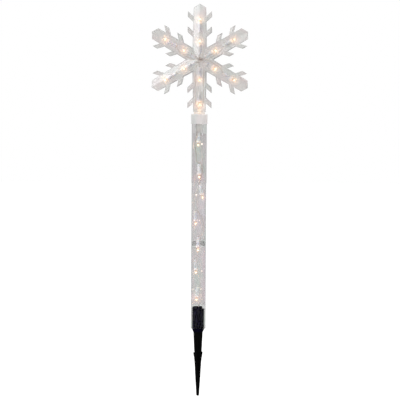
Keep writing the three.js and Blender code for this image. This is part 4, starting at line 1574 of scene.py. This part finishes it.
wt.links.new(sep.outputs["Y"], rampg.inputs["Value"])
wt.links.new(rampg.outputs["Result"], dark.inputs["Strength"])
mirror = wt.nodes.new("ShaderNodeMixShader")
only = wt.nodes.new("ShaderNodeMath")
only.operation = "SUBTRACT"
only.use_clamp = True
wt.links.new(lp.outputs["Is Glossy Ray"], only.inputs[0])
wt.links.new(lp.outputs["Is Transmission Ray"], only.inputs[1])
wt.links.new(only.outputs[0], mirror.inputs["Fac"])
wt.links.new(room.outputs[0], mirror.inputs[1])
wt.links.new(dark.outputs[0], mirror.inputs[2])
mix = wt.nodes.new("ShaderNodeMixShader")
wt.links.new(lp.outputs["Is Camera Ray"], mix.inputs["Fac"])
wt.links.new(mirror.outputs[0], mix.inputs[1])
wt.links.new(seen.outputs[0], mix.inputs[2])
wt.links.new(mix.outputs[0], wo.inputs["Surface"])

# pale floor
fv, ff, fu, _ = turned_data([(0, 0), (60, 0), (200, 0), (600, 0), (2000, 0), (9000, 0)], 96, False)
m = Mat("floor_pale")
seen_d = m.node("ShaderNodeBsdfDiffuse")
seen_d.inputs["Color"].default_value = (0.55, 0.55, 0.55, 1)
seen_e = m.node("ShaderNodeEmission")
seen_e.inputs["Strength"].default_value = 0.7
a1 = m.node("ShaderNodeAddShader")
m.link(seen_d.outputs[0], a1.inputs[0])
m.link(seen_e.outputs[0], a1.inputs[1])
hid_d = m.node("ShaderNodeBsdfDiffuse")
hid_d.inputs["Color"].default_value = (0.4, 0.4, 0.4, 1)
hid_e = m.node("ShaderNodeEmission")
hid_e.inputs["Strength"].default_value = 0.34
a2 = m.node("ShaderNodeAddShader")
m.link(hid_d.outputs[0], a2.inputs[0])
m.link(hid_e.outputs[0], a2.inputs[1])
mir_d = m.node("ShaderNodeBsdfDiffuse")
mir_d.inputs["Color"].default_value = (0.12, 0.12, 0.12, 1)
lpm = m.node("ShaderNodeLightPath")
mg = m.node("ShaderNodeMixShader")
only = m.math("SUBTRACT", lpm.outputs["Is Glossy Ray"], lpm.outputs["Is Transmission Ray"])
only.node.use_clamp = True
m.link(only, mg.inputs["Fac"])
m.link(a2.outputs[0], mg.inputs[1])
m.link(mir_d.outputs[0], mg.inputs[2])
mx = m.node("ShaderNodeMixShader")
m.link(lpm.outputs["Is Camera Ray"], mx.inputs["Fac"])
m.link(mg.outputs[0], mx.inputs[1])
m.link(a1.outputs[0], mx.inputs[2])
m.surface(mx.outputs[0])
floor = make("floor", fv, ff, [m.m], fu)
floor.location = (0, 0, (S0 - 2.5) * MM)

bpy.context.view_layer.update()
